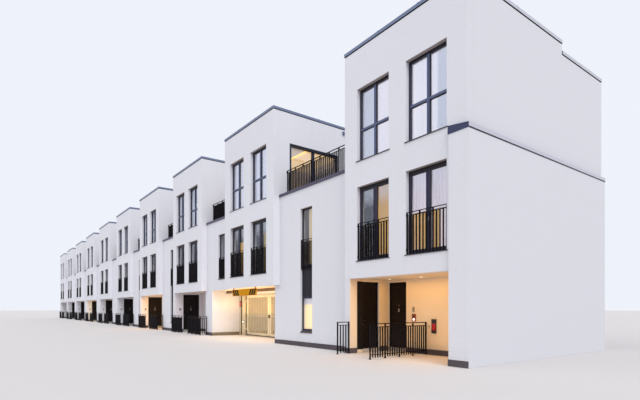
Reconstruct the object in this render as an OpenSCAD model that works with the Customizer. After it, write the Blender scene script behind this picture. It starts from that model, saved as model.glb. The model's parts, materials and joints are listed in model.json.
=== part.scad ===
// Terraced house row, a scale model at half size: ten white rendered blocks
// joined by set-back stair bays, in millimetres of the model.
// X runs along the row, the fronts face -Y and the ground is at Z = 0.
// u counts from the left end of the row, v from the block faces back.

/* [Row] */
// Width of one block front
block_w = 2475; // [2300:5:2500]
// Width of a stair bay between two blocks
gap_w = 1575; // [1400:5:1600]
// Width of the wide bay beside the right-hand block
wide_gap_w = 2420; // [2200:5:2450]
// Depth of the row from the block faces to the rear face
depth = 4150; // [3900:10:4300]
// Depth of the tall part, where the lower rear part begins
front_part_d = 2440; // [2300:10:2550]
// How far the stair bays stand behind the block faces
setback = 165; // [150:5:200]

/* [Heights] */
// Top of the ground floor slab
ground_top = 60; // [40:5:80]
// Underside of the first floor, which is the head of the porches
porch_head = 1290; // [1270:5:1320]
// Thickness of the first floor
first_floor_t = 250; // [200:5:258]
// Underside of the second floor
second_under = 3065; // [3000:5:3100]
// Thickness of the second floor
second_floor_t = 150; // [120:5:165]
// Top of the render of the blocks
parapet_top = 5145; // [5080:5:5200]
// Drop from the block parapets to the rear parapets
rear_drop = 170; // [120:5:200]
// Depth of the roof surface below the parapet top
roof_drop = 245; // [200:5:280]
// Thickness of the roofs
roof_t = 150; // [100:5:180]

/* [Walls] */
// Thickness of the outer walls
wall_t = 165; // [150:5:180]
// Thickness of the party walls on the ground storey
ground_party_t = 100; // [80:5:120]
// Thickness of the porch walls
porch_wall_t = 135; // [120:5:150]
// Depth of the porches from the block face to their back wall
porch_d = 935; // [900:5:1000]
// Thickness of the front walls of the bays
bay_wall_t = 125; // [100:5:130]
// Lap of a bay wall behind the next block front
lap = 100; // [60:5:140]

/* [Windows] */
// Width of a front window
window_w = 742; // [700:2:760]
// Margin between a block corner and its window
window_margin = 320; // [300:5:340]
// Sill of the first floor windows
french_z = 1576; // [1570:1:1600]
// Height of the first floor windows
french_h = 1248; // [1200:4:1260]
// Sill of the second floor windows
upper_z = 3259; // [3250:1:3280]
// Height of the second floor windows
upper_h = 1214; // [1150:4:1230]
// Width of a stair window
stair_w = 410; // [380:5:440]
// Distance of a stair window from the block on its left
stair_x = 800; // [600:5:850]
// Bottom of the stair window openings
stair_z = 280; // [250:5:320]
// Sill of the stair window over the passage
passage_window_z = 1580; // [1570:5:1650]
// Depth of the glass line behind the block faces
frame_inset = 68; // [55:1:80]
// Depth of the stair window frames behind the face of the bay wall
stair_inset = 50; // [40:1:60]
// Thickness of the window frames
frame_t = 18; // [15:1:22]
// Thickness of the glass
glass_t = 6; // [4:1:8]
// Thickness of the sills
sill_t = 12; // [8:1:16]
// Width of the glazed terrace doors
terrace_door_w = 1395; // [1300:5:1450]
// Distance of the terrace doors behind the block faces
terrace_door_v = 420; // [400:5:450]
// Height of the terrace doors
terrace_door_h = 1235; // [1180:5:1250]

/* [Doors] */
// Head of the entrance door openings
door_head = 1250; // [1230:1:1260]
// Width of an entrance door opening in a porch side wall
side_door_w = 560; // [500:5:580]
// Distance of these doors behind the block face
side_door_v = 300; // [295:5:320]
// Width of the side door opening of the right-hand house
end_side_door_w = 410; // [380:5:440]
// Its distance behind the block face
end_side_door_v = 290; // [290:5:310]
// Width of a front door opening in a porch back wall
back_door_w = 440; // [400:5:480]
// Thickness of the door leaves
leaf_t = 25; // [20:1:30]
// Width of a door frame member
door_frame_w = 20; // [15:1:25]
// Running gap round a door leaf
leaf_gap = 6; // [6:0.5:8]
// Distance of the door leaves behind the face of their wall, on the room side
leaf_inset = 55; // [50:1:60]
// Gap under a door leaf
leaf_bottom_gap = 10; // [6:1:14]

/* [Passage] */
// Width of the wall left of the passage
passage_jamb_w = 375; // [340:5:420]
// How far the wall right of the passage reaches behind the corner of the block
passage_return = 210; // [180:5:240]
// Distance of the gate behind the block face
gate_v = 1030; // [980:5:1100]
// Height of a gate leaf
gate_h = 1165; // [1100:5:1200]
// Gap between the two gate leaves
gate_meeting_gap = 10; // [8:1:14]
// Width of a gate post
gate_post_w = 190; // [160:5:200]
// Room for the hinges between post and leaf
gate_hinge_w = 95; // [80:1:100]
// Distance of the left gate post from the passage wall
gate_left_gap = 208; // [180:4:228]
// Distance of the right gate post from the passage wall
gate_right_gap = 137; // [117:4:157]
// Height of the headroom board
sign_h = 160; // [140:5:180]
// Width of the headroom board
sign_w = 1250; // [1100:10:1300]
// Height of the beam under the passage ceiling
gate_beam_h = 76; // [60:2:90]
// Distance of this beam behind the block face
gate_beam_v = 600; // [550:10:650]
// Depth of the gate posts and of the wall piece over them
gate_post_d = 60; // [50:2:80]

/* [Railings] */
// Height of the railings in front of the porches
railing_h = 545; // [520:1:560]
// Height of the terrace railings above the deck
terrace_railing_h = 600; // [560:5:620]
// Height of the guards in front of the first floor windows
juliet_h = 634; // [600:2:680]
// Spacing of the railing bars
bar_pitch = 57; // [50:1:65]
// Width of a bar and height of a rail
bar_w = 11; // [9:0.5:13]
// Width of a railing post
post_w = 18; // [15:1:22]
// Clear height between the two top rails
top_gap = 38; // [30:1:45]
// Height of the bottom rail of the entrance railings above the ground
low_rail_z = 62; // [50:1:75]
// Gap between the ground and the ends of their bars
bar_end_gap = 24; // [20:1:30]
// Length of an entrance railing
entrance_rail_w = 975; // [900:5:1000]
// Distance of the entrance railings in front of the blocks
entrance_rail_v = 50; // [40:1:60]
// Reach of the long railing of the right-hand house into the street
street_reach = 370; // [300:5:400]

/* [Trim] */
// Height of the copings
coping_h = 70; // [60:1:80]
// Overhang of the copings
coping_over = 10; // [6:1:14]
// Height of the shadow gap under the copings
shadow_h = 15; // [10:1:20]
// Thickness of the terrace ledges
ledge_t = 55; // [45:1:65]
// Rise of the terrace ledges above the deck
ledge_rise = 35; // [25:1:40]
// Height of the plinths
plinth_h = 90; // [80:1:100]
// How far the plinths stand proud
plinth_t = 6; // [4:1:8]
// Width of the end pier
end_pier_w = 255; // [240:5:300]
// How far the end pier stands proud of the front
end_pier_front = 50; // [40:1:60]
// How far it stands proud of the gable
end_pier_side = 60; // [40:1:70]
// Top of the end pier
end_pier_top = 3115; // [3050:5:3150]

/* [Hidden] */

// Ten blocks, numbered from 0 at the right-hand end
block_count = 10;
passage_block = 1;
last = block_count - 1;
bays = [for (j = [0 : last - 1]) j];
bay_pitch = block_w + gap_w;
row_len = block_count * block_w + wide_gap_w + (last - 1) * gap_w;
function block_right(i) = i == 0 ? row_len
    : row_len - block_w - wide_gap_w - (i - 1) * bay_pitch;
function block_left(i) = block_right(i) - block_w;
function bay_left(j) = block_right(j + 1);
function bay_right(j) = block_left(j);
function bay_width(j) = bay_right(j) - bay_left(j);
function has_terrace_door(i) = i > 0 && i < last;
function porch_blocks() = [for (i = [0 : last]) if (i != passage_block) i];

// Heights
first_top = porch_head + first_floor_t;
second_top = second_under + second_floor_t;
deck_t = 30;
deck_top = second_top + deck_t;
rear_top = parapet_top - rear_drop;
block_roof_under = parapet_top - roof_drop - roof_t;
rear_roof_under = rear_top - roof_drop - roof_t;
ledge_top = deck_top + ledge_rise;
bay_wall_top = ledge_top - ledge_t;
french_head = french_z + french_h;

// Depths
bay_back = setback + bay_wall_t;
rear_in = depth - wall_t;
step_back = front_part_d + wall_t;
porch_back = porch_d + porch_wall_t;
ledge_front = 25;
ledge_back = 50;

// Passage
passage_left = bay_left(passage_block) + passage_jamb_w;
passage_right = block_right(passage_block) - passage_return;
rear_ground_z = 240;
rear_ground_h = 950;

// The origin is under the middle of the whole row's box
cap_over = 8;
cap_rise = 44;
shift_x = -(row_len + end_pier_side + cap_over - coping_over) / 2;
shift_y = -(depth + coping_over - street_reach) / 2;

render_colour = [0.90, 0.90, 0.93];
floor_colour = [0.72, 0.71, 0.70];
roof_colour = [0.45, 0.46, 0.48];
frame_colour = [0.19, 0.21, 0.26];
glass_colour = [0.30, 0.36, 0.42];
coping_colour = [0.27, 0.30, 0.38];
plinth_colour = [0.27, 0.24, 0.26];
railing_colour = [0.10, 0.08, 0.09];
door_colour = [0.06, 0.05, 0.07];
gate_colour = [0.84, 0.76, 0.60];
sign_colour = [0.92, 0.68, 0.15];

module row() {
    translate([shift_x, shift_y, 0]) children();
}

// A box from its low corner to its high corner
module slab(low, high) {
    translate(low) cube(high - low);
}

// A plate that stands parallel to the fronts, with its face at v
module front_plate(v, t) {
    translate([0, v + t, 0]) rotate([90, 0, 0]) linear_extrude(t) children();
}

// A plate that stands across the row, from u to u + t
module cross_plate(u, t) {
    translate([u, 0, 0]) rotate([90, 0, 90]) linear_extrude(t) children();
}

module rect(x, y, w, h) {
    translate([x, y]) square([w, h]);
}

// Floors and roofs
module storey_outline() {
    polygon(concat(
        [[row_len - wall_t, rear_in], [wall_t, rear_in], [wall_t, setback]],
        [for (i = [last : -1 : 0]) each concat(
            i == last ? [] : [[block_left(i) + lap, bay_back], [block_left(i) + lap, setback]],
            i == 0 ? [[row_len - wall_t, setback]]
                : [[block_right(i), setback], [block_right(i), bay_back]]
        )]
    ));
}

module first_floor() {
    color(floor_colour) row()
        translate([0, 0, porch_head]) linear_extrude(first_floor_t) storey_outline();
}

module second_floor() {
    color(floor_colour) row()
        translate([0, 0, second_under]) linear_extrude(second_floor_t) storey_outline();
}

// Inner width limits of a ground storey room
function room_left(i) = i == last ? wall_t
    : i == 0 ? passage_right + ground_party_t : bay_left(i);
function room_right(i) = i == 0 ? row_len - wall_t : block_right(i) - ground_party_t;
function porch_left(i) = block_left(i) + (i == last ? wall_t : porch_wall_t);
function porch_right(i) = i == 0 ? row_len - end_pier_w : block_right(i) - ground_party_t;
function door_v(i) = i == 0 ? end_side_door_v : side_door_v;
function door_w(i) = i == 0 ? end_side_door_w : side_door_w;
function has_back_door(i) = i == 0 || i == last;
function back_wall_left(i) = porch_left(i) + (has_back_door(i) ? back_door_w : 0);

module ground_floors() {
    color(floor_colour) row() for (i = porch_blocks()) {
        slab([room_left(i), porch_back, 0], [room_right(i), rear_in, ground_top]);
        if (i != last) {
            slab([room_left(i), bay_back, 0], [block_left(i), porch_back, ground_top]);
            slab([block_left(i), door_v(i), 0],
                [block_left(i) + porch_wall_t, door_v(i) + door_w(i), ground_top]);
        }
        if (has_back_door(i))
            slab([porch_left(i), porch_d, 0], [back_wall_left(i), porch_back, ground_top]);
    }
}

module roofs() {
    color(roof_colour) row() {
        for (i = [0 : last])
            slab([block_left(i) + wall_t, setback, block_roof_under],
                [block_right(i) - wall_t, front_part_d, block_roof_under + roof_t]);
        slab([wall_t, step_back, rear_roof_under],
            [row_len - wall_t, rear_in, rear_roof_under + roof_t]);
    }
}

module terrace_decks() {
    color(roof_colour) row() for (j = bays)
        slab([bay_left(j), bay_back, second_top], [bay_right(j), front_part_d, deck_top]);
}

// Walls
function window_left(i, n) = block_left(i) + window_margin
    + n * (block_w - 2 * window_margin - window_w);

module block_front_walls() {
    color(render_colour) row() for (i = [0 : last])
        front_plate(0, setback) difference() {
            rect(block_left(i), porch_head, block_w, parapet_top - porch_head);
            for (n = [0, 1]) {
                rect(window_left(i, n), french_z - sill_t, window_w, french_h + sill_t);
                rect(window_left(i, n), upper_z - sill_t, window_w, upper_h + sill_t);
            }
        }
}

function stair_left(j) = bay_left(j) + stair_x;
function stair_bottom(j) = j == passage_block ? passage_window_z : stair_z;

module bay_front_walls() {
    color(render_colour) row() for (j = bays)
        front_plate(setback, bay_wall_t) difference() {
            union() {
                rect(bay_left(j), porch_head, bay_width(j), bay_wall_top - porch_head);
                rect(bay_right(j), porch_head, lap, second_top - porch_head);
                if (j == 0) rect(passage_right, 0, bay_right(0) - passage_right, porch_head);
                else if (j != passage_block) rect(bay_left(j), 0, bay_width(j), porch_head);
            }
            rect(stair_left(j), stair_bottom(j), stair_w, french_head - stair_bottom(j));
        }
}

module porch_side_walls() {
    color(render_colour) row() {
        for (i = porch_blocks()) if (i != last) {
            u = block_left(i);
            slab([u, 0, 0], [u + porch_wall_t, door_v(i), porch_head]);
            slab([u, door_v(i) + door_w(i), 0], [u + porch_wall_t, porch_back, porch_head]);
        }
        slab([0, 0, 0], [wall_t, setback, porch_head]);
        slab([bay_left(passage_block), setback, 0], [passage_left, bay_back, porch_head]);
    }
}

module porch_back_walls() {
    color(render_colour) row() for (i = porch_blocks())
        slab([back_wall_left(i), porch_d, 0], [porch_right(i), porch_back, porch_head]);
}

module rear_openings(i) {
    for (n = [0, 1]) {
        if (i != passage_block)
            rect(window_left(i, n), rear_ground_z, window_w, rear_ground_h);
        rect(window_left(i, n), french_z, window_w, french_h);
        rect(window_left(i, n), upper_z, window_w, upper_h);
    }
    if (i != last) {
        if (i != passage_block)
            rect(stair_left(i), rear_ground_z, stair_w, rear_ground_h);
        rect(stair_left(i), french_z, stair_w, french_h);
        rect(stair_left(i), upper_z, stair_w, upper_h);
    }
}

// Pieces over the doors, over the gate and over the rear end of the passage
module lintels() {
    color(render_colour) row() {
        slab([passage_left, gate_v - gate_post_d / 2, gate_top],
            [passage_right, gate_v + gate_post_d / 2, porch_head]);
        for (i = porch_blocks()) {
            u = block_left(i);
            if (i != last)
                slab([u, door_v(i), door_head],
                    [u + porch_wall_t, door_v(i) + door_w(i), porch_head]);
            if (has_back_door(i))
                slab([porch_left(i), porch_d, door_head],
                    [back_wall_left(i), porch_back, porch_head]);
        }
        front_plate(rear_in, wall_t) difference() {
            rect(passage_left, porch_head, passage_right - passage_left,
                rear_top - porch_head);
            rear_openings(passage_block);
        }
    }
}

module party_walls() {
    color(render_colour) row() {
        for (i = [passage_block + 1 : last])
            slab([block_right(i) - ground_party_t, setback, 0],
                [block_right(i), rear_in, porch_head]);
        slab([passage_right, bay_back, 0],
            [passage_right + ground_party_t, rear_in, porch_head]);
        slab([passage_left - ground_party_t, bay_back, 0], [passage_left, rear_in, porch_head]);
        for (i = [1 : last]) {
            u = block_right(i) - wall_t;
            slab([u, setback, first_top], [u + wall_t, rear_in, second_under]);
            slab([u, step_back, second_top], [u + wall_t, rear_in, rear_roof_under]);
        }
        for (u = [0, row_len - wall_t]) cross_plate(u, wall_t) end_outline();
        slab([row_len, -end_pier_front, 0], [row_len + end_pier_side, depth, end_pier_top]);
    }
}

module end_outline() {
    polygon([[setback, 0], [rear_in, 0], [rear_in, rear_top], [step_back, rear_top],
        [step_back, parapet_top], [setback, parapet_top]]);
}

// Side walls of the blocks above the terraces, with the glazed doors cut through
module block_side_walls() {
    color(render_colour) row() for (i = [0 : last]) {
        if (i != last)
            cross_plate(block_left(i), wall_t) side_outline(has_terrace_door(i));
        if (i != 0)
            cross_plate(block_right(i) - wall_t, wall_t) side_outline(i == passage_block);
    }
}

module side_outline(door) {
    difference() {
        rect(setback, second_top, step_back - setback, parapet_top - second_top);
        if (door) rect(terrace_door_v, deck_top, terrace_door_w, terrace_door_h);
    }
}

// Walls behind the terraces, and the parapets behind the block roofs
module step_walls() {
    color(render_colour) row() {
        for (j = bays)
            slab([bay_left(j), front_part_d, second_top], [bay_right(j), step_back, rear_top]);
        for (i = [0 : last])
            slab([block_left(i) + wall_t, front_part_d, rear_roof_under],
                [block_right(i) - wall_t, step_back, parapet_top]);
    }
}

module rear_walls() {
    color(render_colour) row() front_plate(rear_in, wall_t) difference() {
        union() {
            rect(0, 0, passage_left, rear_top);
            rect(passage_right, 0, row_len - passage_right, rear_top);
        }
        for (i = porch_blocks()) rear_openings(i);
    }
}

module end_pier() {
    color(render_colour) row() {
        u = row_len - end_pier_w;
        slab([u, -end_pier_front, 0], [row_len, 0, end_pier_top]);
        slab([u, 0, 0], [row_len, setback, porch_head]);
        slab([u, setback, 0], [row_len - wall_t, porch_back, porch_head]);
    }
}

// Trim
module coping(low, high, z) {
    inset = 2 * coping_over;
    slab([low[0] + inset, low[1] + inset, z], [high[0] - inset, high[1] - inset, z + shadow_h]);
    slab([low[0], low[1], z + shadow_h], [high[0], high[1], z + coping_h]);
}

coping_in = wall_t + coping_over;

module long_copings() {
    color(coping_colour) row() {
        for (i = [0 : last]) {
            u = block_left(i) - coping_over;
            w = block_w + 2 * coping_over;
            coping([u, -coping_over], [u + w, coping_in], parapet_top);
            coping([u, front_part_d - coping_over], [u + w, step_back + coping_over],
                parapet_top);
        }
        for (j = bays)
            coping([bay_left(j), front_part_d - coping_over],
                [bay_right(j), step_back + coping_over], rear_top);
        coping([-coping_over, rear_in - coping_over],
            [row_len + coping_over, depth + coping_over], rear_top);
    }
}

module side_copings() {
    color(coping_colour) row() {
        for (i = [0 : last], side = [0, 1]) {
            u = side == 0 ? block_left(i) - coping_over : block_right(i) - coping_in;
            coping([u, coping_in], [u + wall_t + 2 * coping_over, front_part_d - coping_over],
                parapet_top);
        }
        for (u = [-coping_over, row_len - coping_in])
            coping([u, step_back + coping_over],
                [u + wall_t + 2 * coping_over, rear_in - coping_over], rear_top);
        end_pier_cap();
    }
}

// The front of the cap is taller at its left end
module end_pier_cap() {
    front = -end_pier_front - cap_over;
    left = row_len - end_pier_w - cap_over;
    right = row_len + end_pier_side + cap_over;
    front_plate(front, -front) polygon([[left, end_pier_top], [right, end_pier_top],
        [right, end_pier_top + coping_h], [left, end_pier_top + coping_h + cap_rise]]);
    slab([row_len, front, end_pier_top],
        [row_len + end_pier_side + cap_over, depth, end_pier_top + coping_h]);
}

module terrace_ledges() {
    color(coping_colour) row() for (j = bays) {
        slab([bay_left(j), setback - ledge_front, bay_wall_top],
            [bay_right(j), bay_back, ledge_top]);
        slab([bay_left(j), bay_back, deck_top],
            [bay_right(j), bay_back + ledge_back, ledge_top]);
    }
}

// A rectangle in plan from its low corner to its high corner
module area(low, high) {
    translate(low) square(high - low);
}

function side_plinth_end(i) = i == last ? porch_d : i == 0 ? setback : door_v(i);

module pier_plinth(i) {
    t = plinth_t;
    left = block_left(i) - (i == last ? 0 : t);
    area([left, -t], [porch_left(i) + t, 0]);
    if (i != last) area([left, -t], [block_left(i), setback]);
    area([porch_left(i), -t], [porch_left(i) + t, side_plinth_end(i)]);
    if (i != last) area([porch_left(i), door_v(i) + door_w(i)], [porch_left(i) + t, porch_d]);
    area([back_wall_left(i), porch_d - t], [porch_right(i), porch_d]);
}

module right_plinth(i) {
    t = plinth_t;
    front = i == 0 ? -end_pier_front : setback;
    end = i == 0 ? row_len + end_pier_side : block_right(i);
    area([porch_right(i) - t, front - t], [porch_right(i), porch_d]);
    area([porch_right(i) - t, front - t], [end, front]);
}

module passage_plinth() {
    t = plinth_t;
    area([bay_left(passage_block), setback - t], [passage_left + t, setback]);
    area([passage_left, setback - t], [passage_left + t, depth + t]);
    area([passage_right - t, setback - t], [passage_right, depth + t]);
    area([0, depth], [passage_left + t, depth + t]);
    area([passage_right - t, depth], [row_len, depth + t]);
}

module plinths() {
    color(plinth_colour) row() linear_extrude(plinth_h) {
        for (j = bays) if (j != passage_block)
            area([j == 0 ? passage_right : bay_left(j), setback - plinth_t],
                [bay_right(j), setback]);
        for (i = porch_blocks()) {
            pier_plinth(i);
            right_plinth(i);
        }
        passage_plinth();
    }
}

// Windows
module upper_frame() {
    rim = 36;
    mullion = 50;
    transom = 42;
    transom_z = 510;
    pane_w = (window_w - 2 * rim - mullion) / 2;
    difference() {
        square([window_w, upper_h]);
        for (x = [rim, rim + pane_w + mullion]) {
            rect(x, rim, pane_w, transom_z - rim);
            rect(x, transom_z + transom, pane_w, upper_h - rim - transom_z - transom);
        }
    }
}

module leaf_pair_frame(w, h) {
    stile = 50;
    rail = 65;
    middle = 82;
    pane_w = (w - 2 * stile - middle) / 2;
    difference() {
        square([w, h]);
        for (x = [stile, stile + pane_w + middle]) rect(x, rail, pane_w, h - 2 * rail);
    }
}

module single_frame(w, h) {
    rim = 25;
    difference() {
        square([w, h]);
        rect(rim, rim, w - 2 * rim, h - 2 * rim);
    }
}

// Bottom and top of the dark panel between the two lights of a stair window
stair_panel_low = 985;
stair_panel_high = 1660;
stair_sill_rise = 50;

module stair_frame(j) {
    bottom = stair_bottom(j) + stair_sill_rise;
    rim = 25;
    difference() {
        rect(0, bottom, stair_w, french_head - bottom);
        if (j != passage_block)
            rect(rim, bottom + rim, stair_w - 2 * rim, stair_panel_low - bottom - rim);
        low = j == passage_block ? bottom + rim : stair_panel_high;
        rect(rim, low, stair_w - 2 * rim, french_head - rim - low);
    }
}

module upper_window_frames() {
    color(frame_colour) row() {
        for (i = [0 : last], n = [0, 1])
            front_plate(frame_inset, frame_t)
                translate([window_left(i, n), upper_z]) upper_frame();
        for (i = [0 : last]) if (has_terrace_door(i))
            cross_plate(block_left(i) + frame_inset, frame_t)
                translate([terrace_door_v, deck_top]) terrace_door_frame();
        cross_plate(block_right(passage_block) - frame_inset - frame_t, frame_t)
            translate([terrace_door_v, deck_top]) terrace_door_frame();
    }
}

module terrace_door_frame() {
    rim = 45;
    middle = 75;
    pane_w = (terrace_door_w - 2 * rim - middle) / 2;
    difference() {
        square([terrace_door_w, terrace_door_h]);
        for (x = [rim, rim + pane_w + middle])
            rect(x, rim, pane_w, terrace_door_h - 2 * rim);
    }
}

module french_window_frames() {
    color(frame_colour) row() for (i = [0 : last], n = [0, 1])
        front_plate(frame_inset, frame_t)
            translate([window_left(i, n), french_z]) leaf_pair_frame(window_w, french_h);
}

module stair_window_frames() {
    color(frame_colour) row() for (j = bays)
        front_plate(setback + stair_inset, frame_t)
            translate([stair_left(j), 0]) stair_frame(j);
}

module window_glass() {
    color(glass_colour) row() {
        rear_panes();
        v = frame_inset + frame_t;
        for (i = [0 : last], n = [0, 1]) {
            u = window_left(i, n);
            slab([u, v, french_z], [u + window_w, v + glass_t, french_head]);
            slab([u, v, upper_z], [u + window_w, v + glass_t, upper_z + upper_h]);
        }
        for (j = bays) {
            bottom = stair_bottom(j) + stair_sill_rise;
            slab([stair_left(j), setback + stair_inset + frame_t, bottom],
                [stair_left(j) + stair_w, setback + stair_inset + frame_t + glass_t,
                    french_head]);
        }
        for (i = [0 : last]) if (has_terrace_door(i))
            terrace_pane(block_left(i) + v);
        terrace_pane(block_right(passage_block) - v - glass_t);
    }
}

module terrace_pane(u) {
    slab([u, terrace_door_v, deck_top],
        [u + glass_t, terrace_door_v + terrace_door_w, deck_top + terrace_door_h]);
}

module rear_bay(i) {
    for (n = [0, 1]) {
        if (i != passage_block)
            translate([window_left(i, n), rear_ground_z]) children(0);
        translate([window_left(i, n), french_z]) children(1);
        translate([window_left(i, n), upper_z]) children(2);
    }
    if (i != last) {
        if (i != passage_block)
            translate([stair_left(i), rear_ground_z]) children(3);
        translate([stair_left(i), french_z]) children(4);
        translate([stair_left(i), upper_z]) children(5);
    }
}

module rear_window_frames() {
    color(frame_colour) row() for (i = [0 : last])
        front_plate(depth - frame_inset - frame_t, frame_t) rear_bay(i) {
            leaf_pair_frame(window_w, rear_ground_h);
            leaf_pair_frame(window_w, french_h);
            upper_frame();
            single_frame(stair_w, rear_ground_h);
            single_frame(stair_w, french_h);
            single_frame(stair_w, upper_h);
        }
}

module rear_panes() {
    for (i = [0 : last])
        front_plate(depth - frame_inset - frame_t - glass_t, glass_t) rear_bay(i) {
            square([window_w, rear_ground_h]);
            square([window_w, french_h]);
            square([window_w, upper_h]);
            square([stair_w, rear_ground_h]);
            square([stair_w, french_h]);
            square([stair_w, upper_h]);
        }
}

sill_nose = 15;
sill_side = 20;

module sill(u, w, v, z, reach) {
    slab([u, v - sill_nose, z - sill_t], [u + w, v + reach, z]);
    slab([u - sill_side, v - sill_nose, z - sill_t], [u + w + sill_side, v, z]);
}

module stair_sill(j) {
    reach = stair_inset + frame_t + glass_t;
    z = stair_bottom(j);
    translate([stair_left(j), 0, 0]) rotate([90, 0, 90]) linear_extrude(stair_w)
        polygon([[setback - sill_nose, z], [setback + reach, z],
            [setback + reach, z + stair_sill_rise],
            [setback + stair_inset, z + stair_sill_rise],
            [setback - sill_nose, z + sill_t]]);
}

module window_sills() {
    color(coping_colour) row() {
        for (i = [0 : last], n = [0, 1], z = [french_z, upper_z])
            sill(window_left(i, n), window_w, 0, z, frame_inset + frame_t + glass_t);
        for (j = bays) stair_sill(j);
    }
}

// A flat railing panel: posts with close bars between them, and a doubled top rail.
// Where bar_end is less than foot, the bars run on below the bottom rail.
module railing_panel(w, h, foot, bar_end) {
    bars_per_post = 5;
    spans = max(1, round((w - post_w) / (bars_per_post * bar_pitch)));
    span = (w - post_w) / spans;
    slots = max(2, round(span / bar_pitch));
    slot = (span - post_w - (slots - 1) * bar_w) / slots;
    low = foot + bar_w;
    high = h - 2 * bar_w - top_gap;
    difference() {
        rect(0, 0, w, h);
        for (k = [0 : spans - 1]) {
            x = post_w + k * span;
            rect(x, h - bar_w - top_gap, span - post_w, top_gap);
            if (foot > 0) rect(x, 0, span - post_w, bar_end);
            for (n = [0 : slots - 1]) {
                rect(x + n * (slot + bar_w), low, slot, high - low);
                if (bar_end < foot) rect(x + n * (slot + bar_w), 0, slot, foot);
            }
        }
    }
}

rail_t = 12;
rail_foot = 25;
terrace_railing_v = bay_back + ledge_back + rail_t;

module terrace_railings() {
    color(railing_colour) row() for (j = bays)
        front_plate(terrace_railing_v, rail_t) translate([bay_left(j), deck_top])
            railing_panel(bay_width(j), terrace_railing_h, rail_foot, rail_foot);
}

juliet_v = 12;
guard_top = french_z + juliet_h - 24;

function guard_low(j) = j == passage_block ? passage_window_z + stair_sill_rise : french_z;

module juliet_railings() {
    color(railing_colour) row() {
        for (i = [0 : last], n = [0, 1])
            front_plate(juliet_v, rail_t) translate([window_left(i, n), french_z])
                railing_panel(window_w, juliet_h, 0, 0);
        for (j = bays)
            front_plate(setback + juliet_v, rail_t)
                translate([stair_left(j), guard_low(j)])
                    railing_panel(stair_w, guard_top - guard_low(j), 0, 0);
    }
}

entrance_rail_front = -entrance_rail_v - rail_t / 2;
entrance_rail_back = entrance_rail_front + rail_t;
tie_heights = [plinth_h + 50, railing_h - bar_w];

module entrance_railings() {
    color(railing_colour) row() for (i = porch_blocks()) if (i != 0)
        for (u = [block_left(i), block_right(i) - entrance_rail_w])
            front_plate(entrance_rail_front, rail_t) translate([u, 0])
                railing_panel(entrance_rail_w, railing_h, low_rail_z, bar_end_gap);
}

end_rail_u = 110;
end_rail_reach = 270;
long_rail_u = 1015;

// A railing across the row, clear of the plinth and tied to the wall face behind it
module cross_railing(u, front, wall_face) {
    cross_plate(u, rail_t) translate([front, 0]) {
        railing_panel(wall_face - plinth_t - front, railing_h, low_rail_z, bar_end_gap);
        for (z = tie_heights) rect(wall_face - plinth_t - front, z, plinth_t, bar_w);
    }
}

// The returns at the porches, the ties of the front railings, and the two right-hand railings
module side_railings() {
    color(railing_colour) row() {
        for (i = porch_blocks()) if (i != 0) {
            cross_railing(block_right(i) - rail_t, entrance_rail_back, setback);
            for (z = tie_heights)
                slab([block_left(i) + rail_t, entrance_rail_back, z],
                    [block_left(i) + rail_t + bar_w, 0, z + bar_w]);
        }
        cross_railing(block_left(0) + end_rail_u, -end_rail_reach, 0);
        cross_railing(block_left(0) + long_rail_u, -street_reach, porch_d);
    }
}

// Doors
frame_d = 65;
hinge_h = 40;
hinge_seat = 0.5;
leaf_low = ground_top + leaf_bottom_gap;
leaf_high = door_head - door_frame_w - leaf_gap;
hinge_heights = [for (f = [0.12, 0.5, 0.88]) leaf_low + f * (leaf_high - leaf_low)];

// A door frame and its hinges across an opening of width w along its own x, leaf side at y 0
module door_frame(w, hinge_left) {
    y0 = -(frame_d - leaf_t) / 2;
    for (x = [0, w - door_frame_w])
        slab([x, y0, ground_top], [x + door_frame_w, y0 + frame_d, door_head]);
    slab([0, y0, door_head - door_frame_w], [w, y0 + frame_d, door_head]);
    x = hinge_left ? door_frame_w : w - door_frame_w - leaf_gap + hinge_seat;
    for (z = hinge_heights)
        slab([x, 0, z - hinge_h / 2], [x + leaf_gap - hinge_seat, leaf_t, z + hinge_h / 2]);
}

module door_leaf(w) {
    edge = door_frame_w + leaf_gap;
    slab([edge, 0, leaf_low], [w - edge, leaf_t, leaf_high]);
}

// A dark fixed panel lines the porch wall in front of the right-hand house's side door
module side_panel() {
    slab([porch_left(0), setback, ground_top], [porch_left(0) + plinth_t, door_v(0), door_head]);
}

// Places a door drawn along x into the left side wall of a porch
module in_side_wall(i) {
    translate([block_left(i) + leaf_inset + leaf_t, door_v(i), 0]) rotate([0, 0, 90])
        children();
}

// Places a door into the back wall of a porch
module in_back_wall(i) {
    translate([porch_left(i), porch_d + leaf_inset, 0]) children();
}

module door_frames() {
    color(frame_colour) row() {
        for (i = porch_blocks()) if (i != last)
            in_side_wall(i) door_frame(door_w(i), false);
        for (i = [0, last]) in_back_wall(i) door_frame(back_door_w, true);
        side_panel();
    }
}

module side_door(i) {
    color(door_colour) row() in_side_wall(i) door_leaf(door_w(i));
}

module front_door(i) {
    color(door_colour) row() in_back_wall(i) door_leaf(back_door_w);
}

// Passage gate
gate_t = 30;
gate_rim = 45;
gate_bars = 12;
gate_ground_gap = 20;
gate_seat = 0.5;
gate_top = gate_h + 12;
gate_left = passage_left + gate_left_gap;
gate_leaf_w = (passage_right - passage_left - gate_left_gap - gate_right_gap
    - 2 * (gate_post_w + gate_hinge_w) - gate_meeting_gap) / 2;
leaf_left_u = gate_left + gate_post_w + gate_hinge_w;
leaf_right_u = leaf_left_u + gate_leaf_w + gate_meeting_gap;
post_right_u = leaf_right_u + gate_leaf_w + gate_hinge_w;
gate_hinges = [for (f = [0.15, 0.85]) gate_ground_gap + f * (gate_h - gate_ground_gap)];

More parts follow.
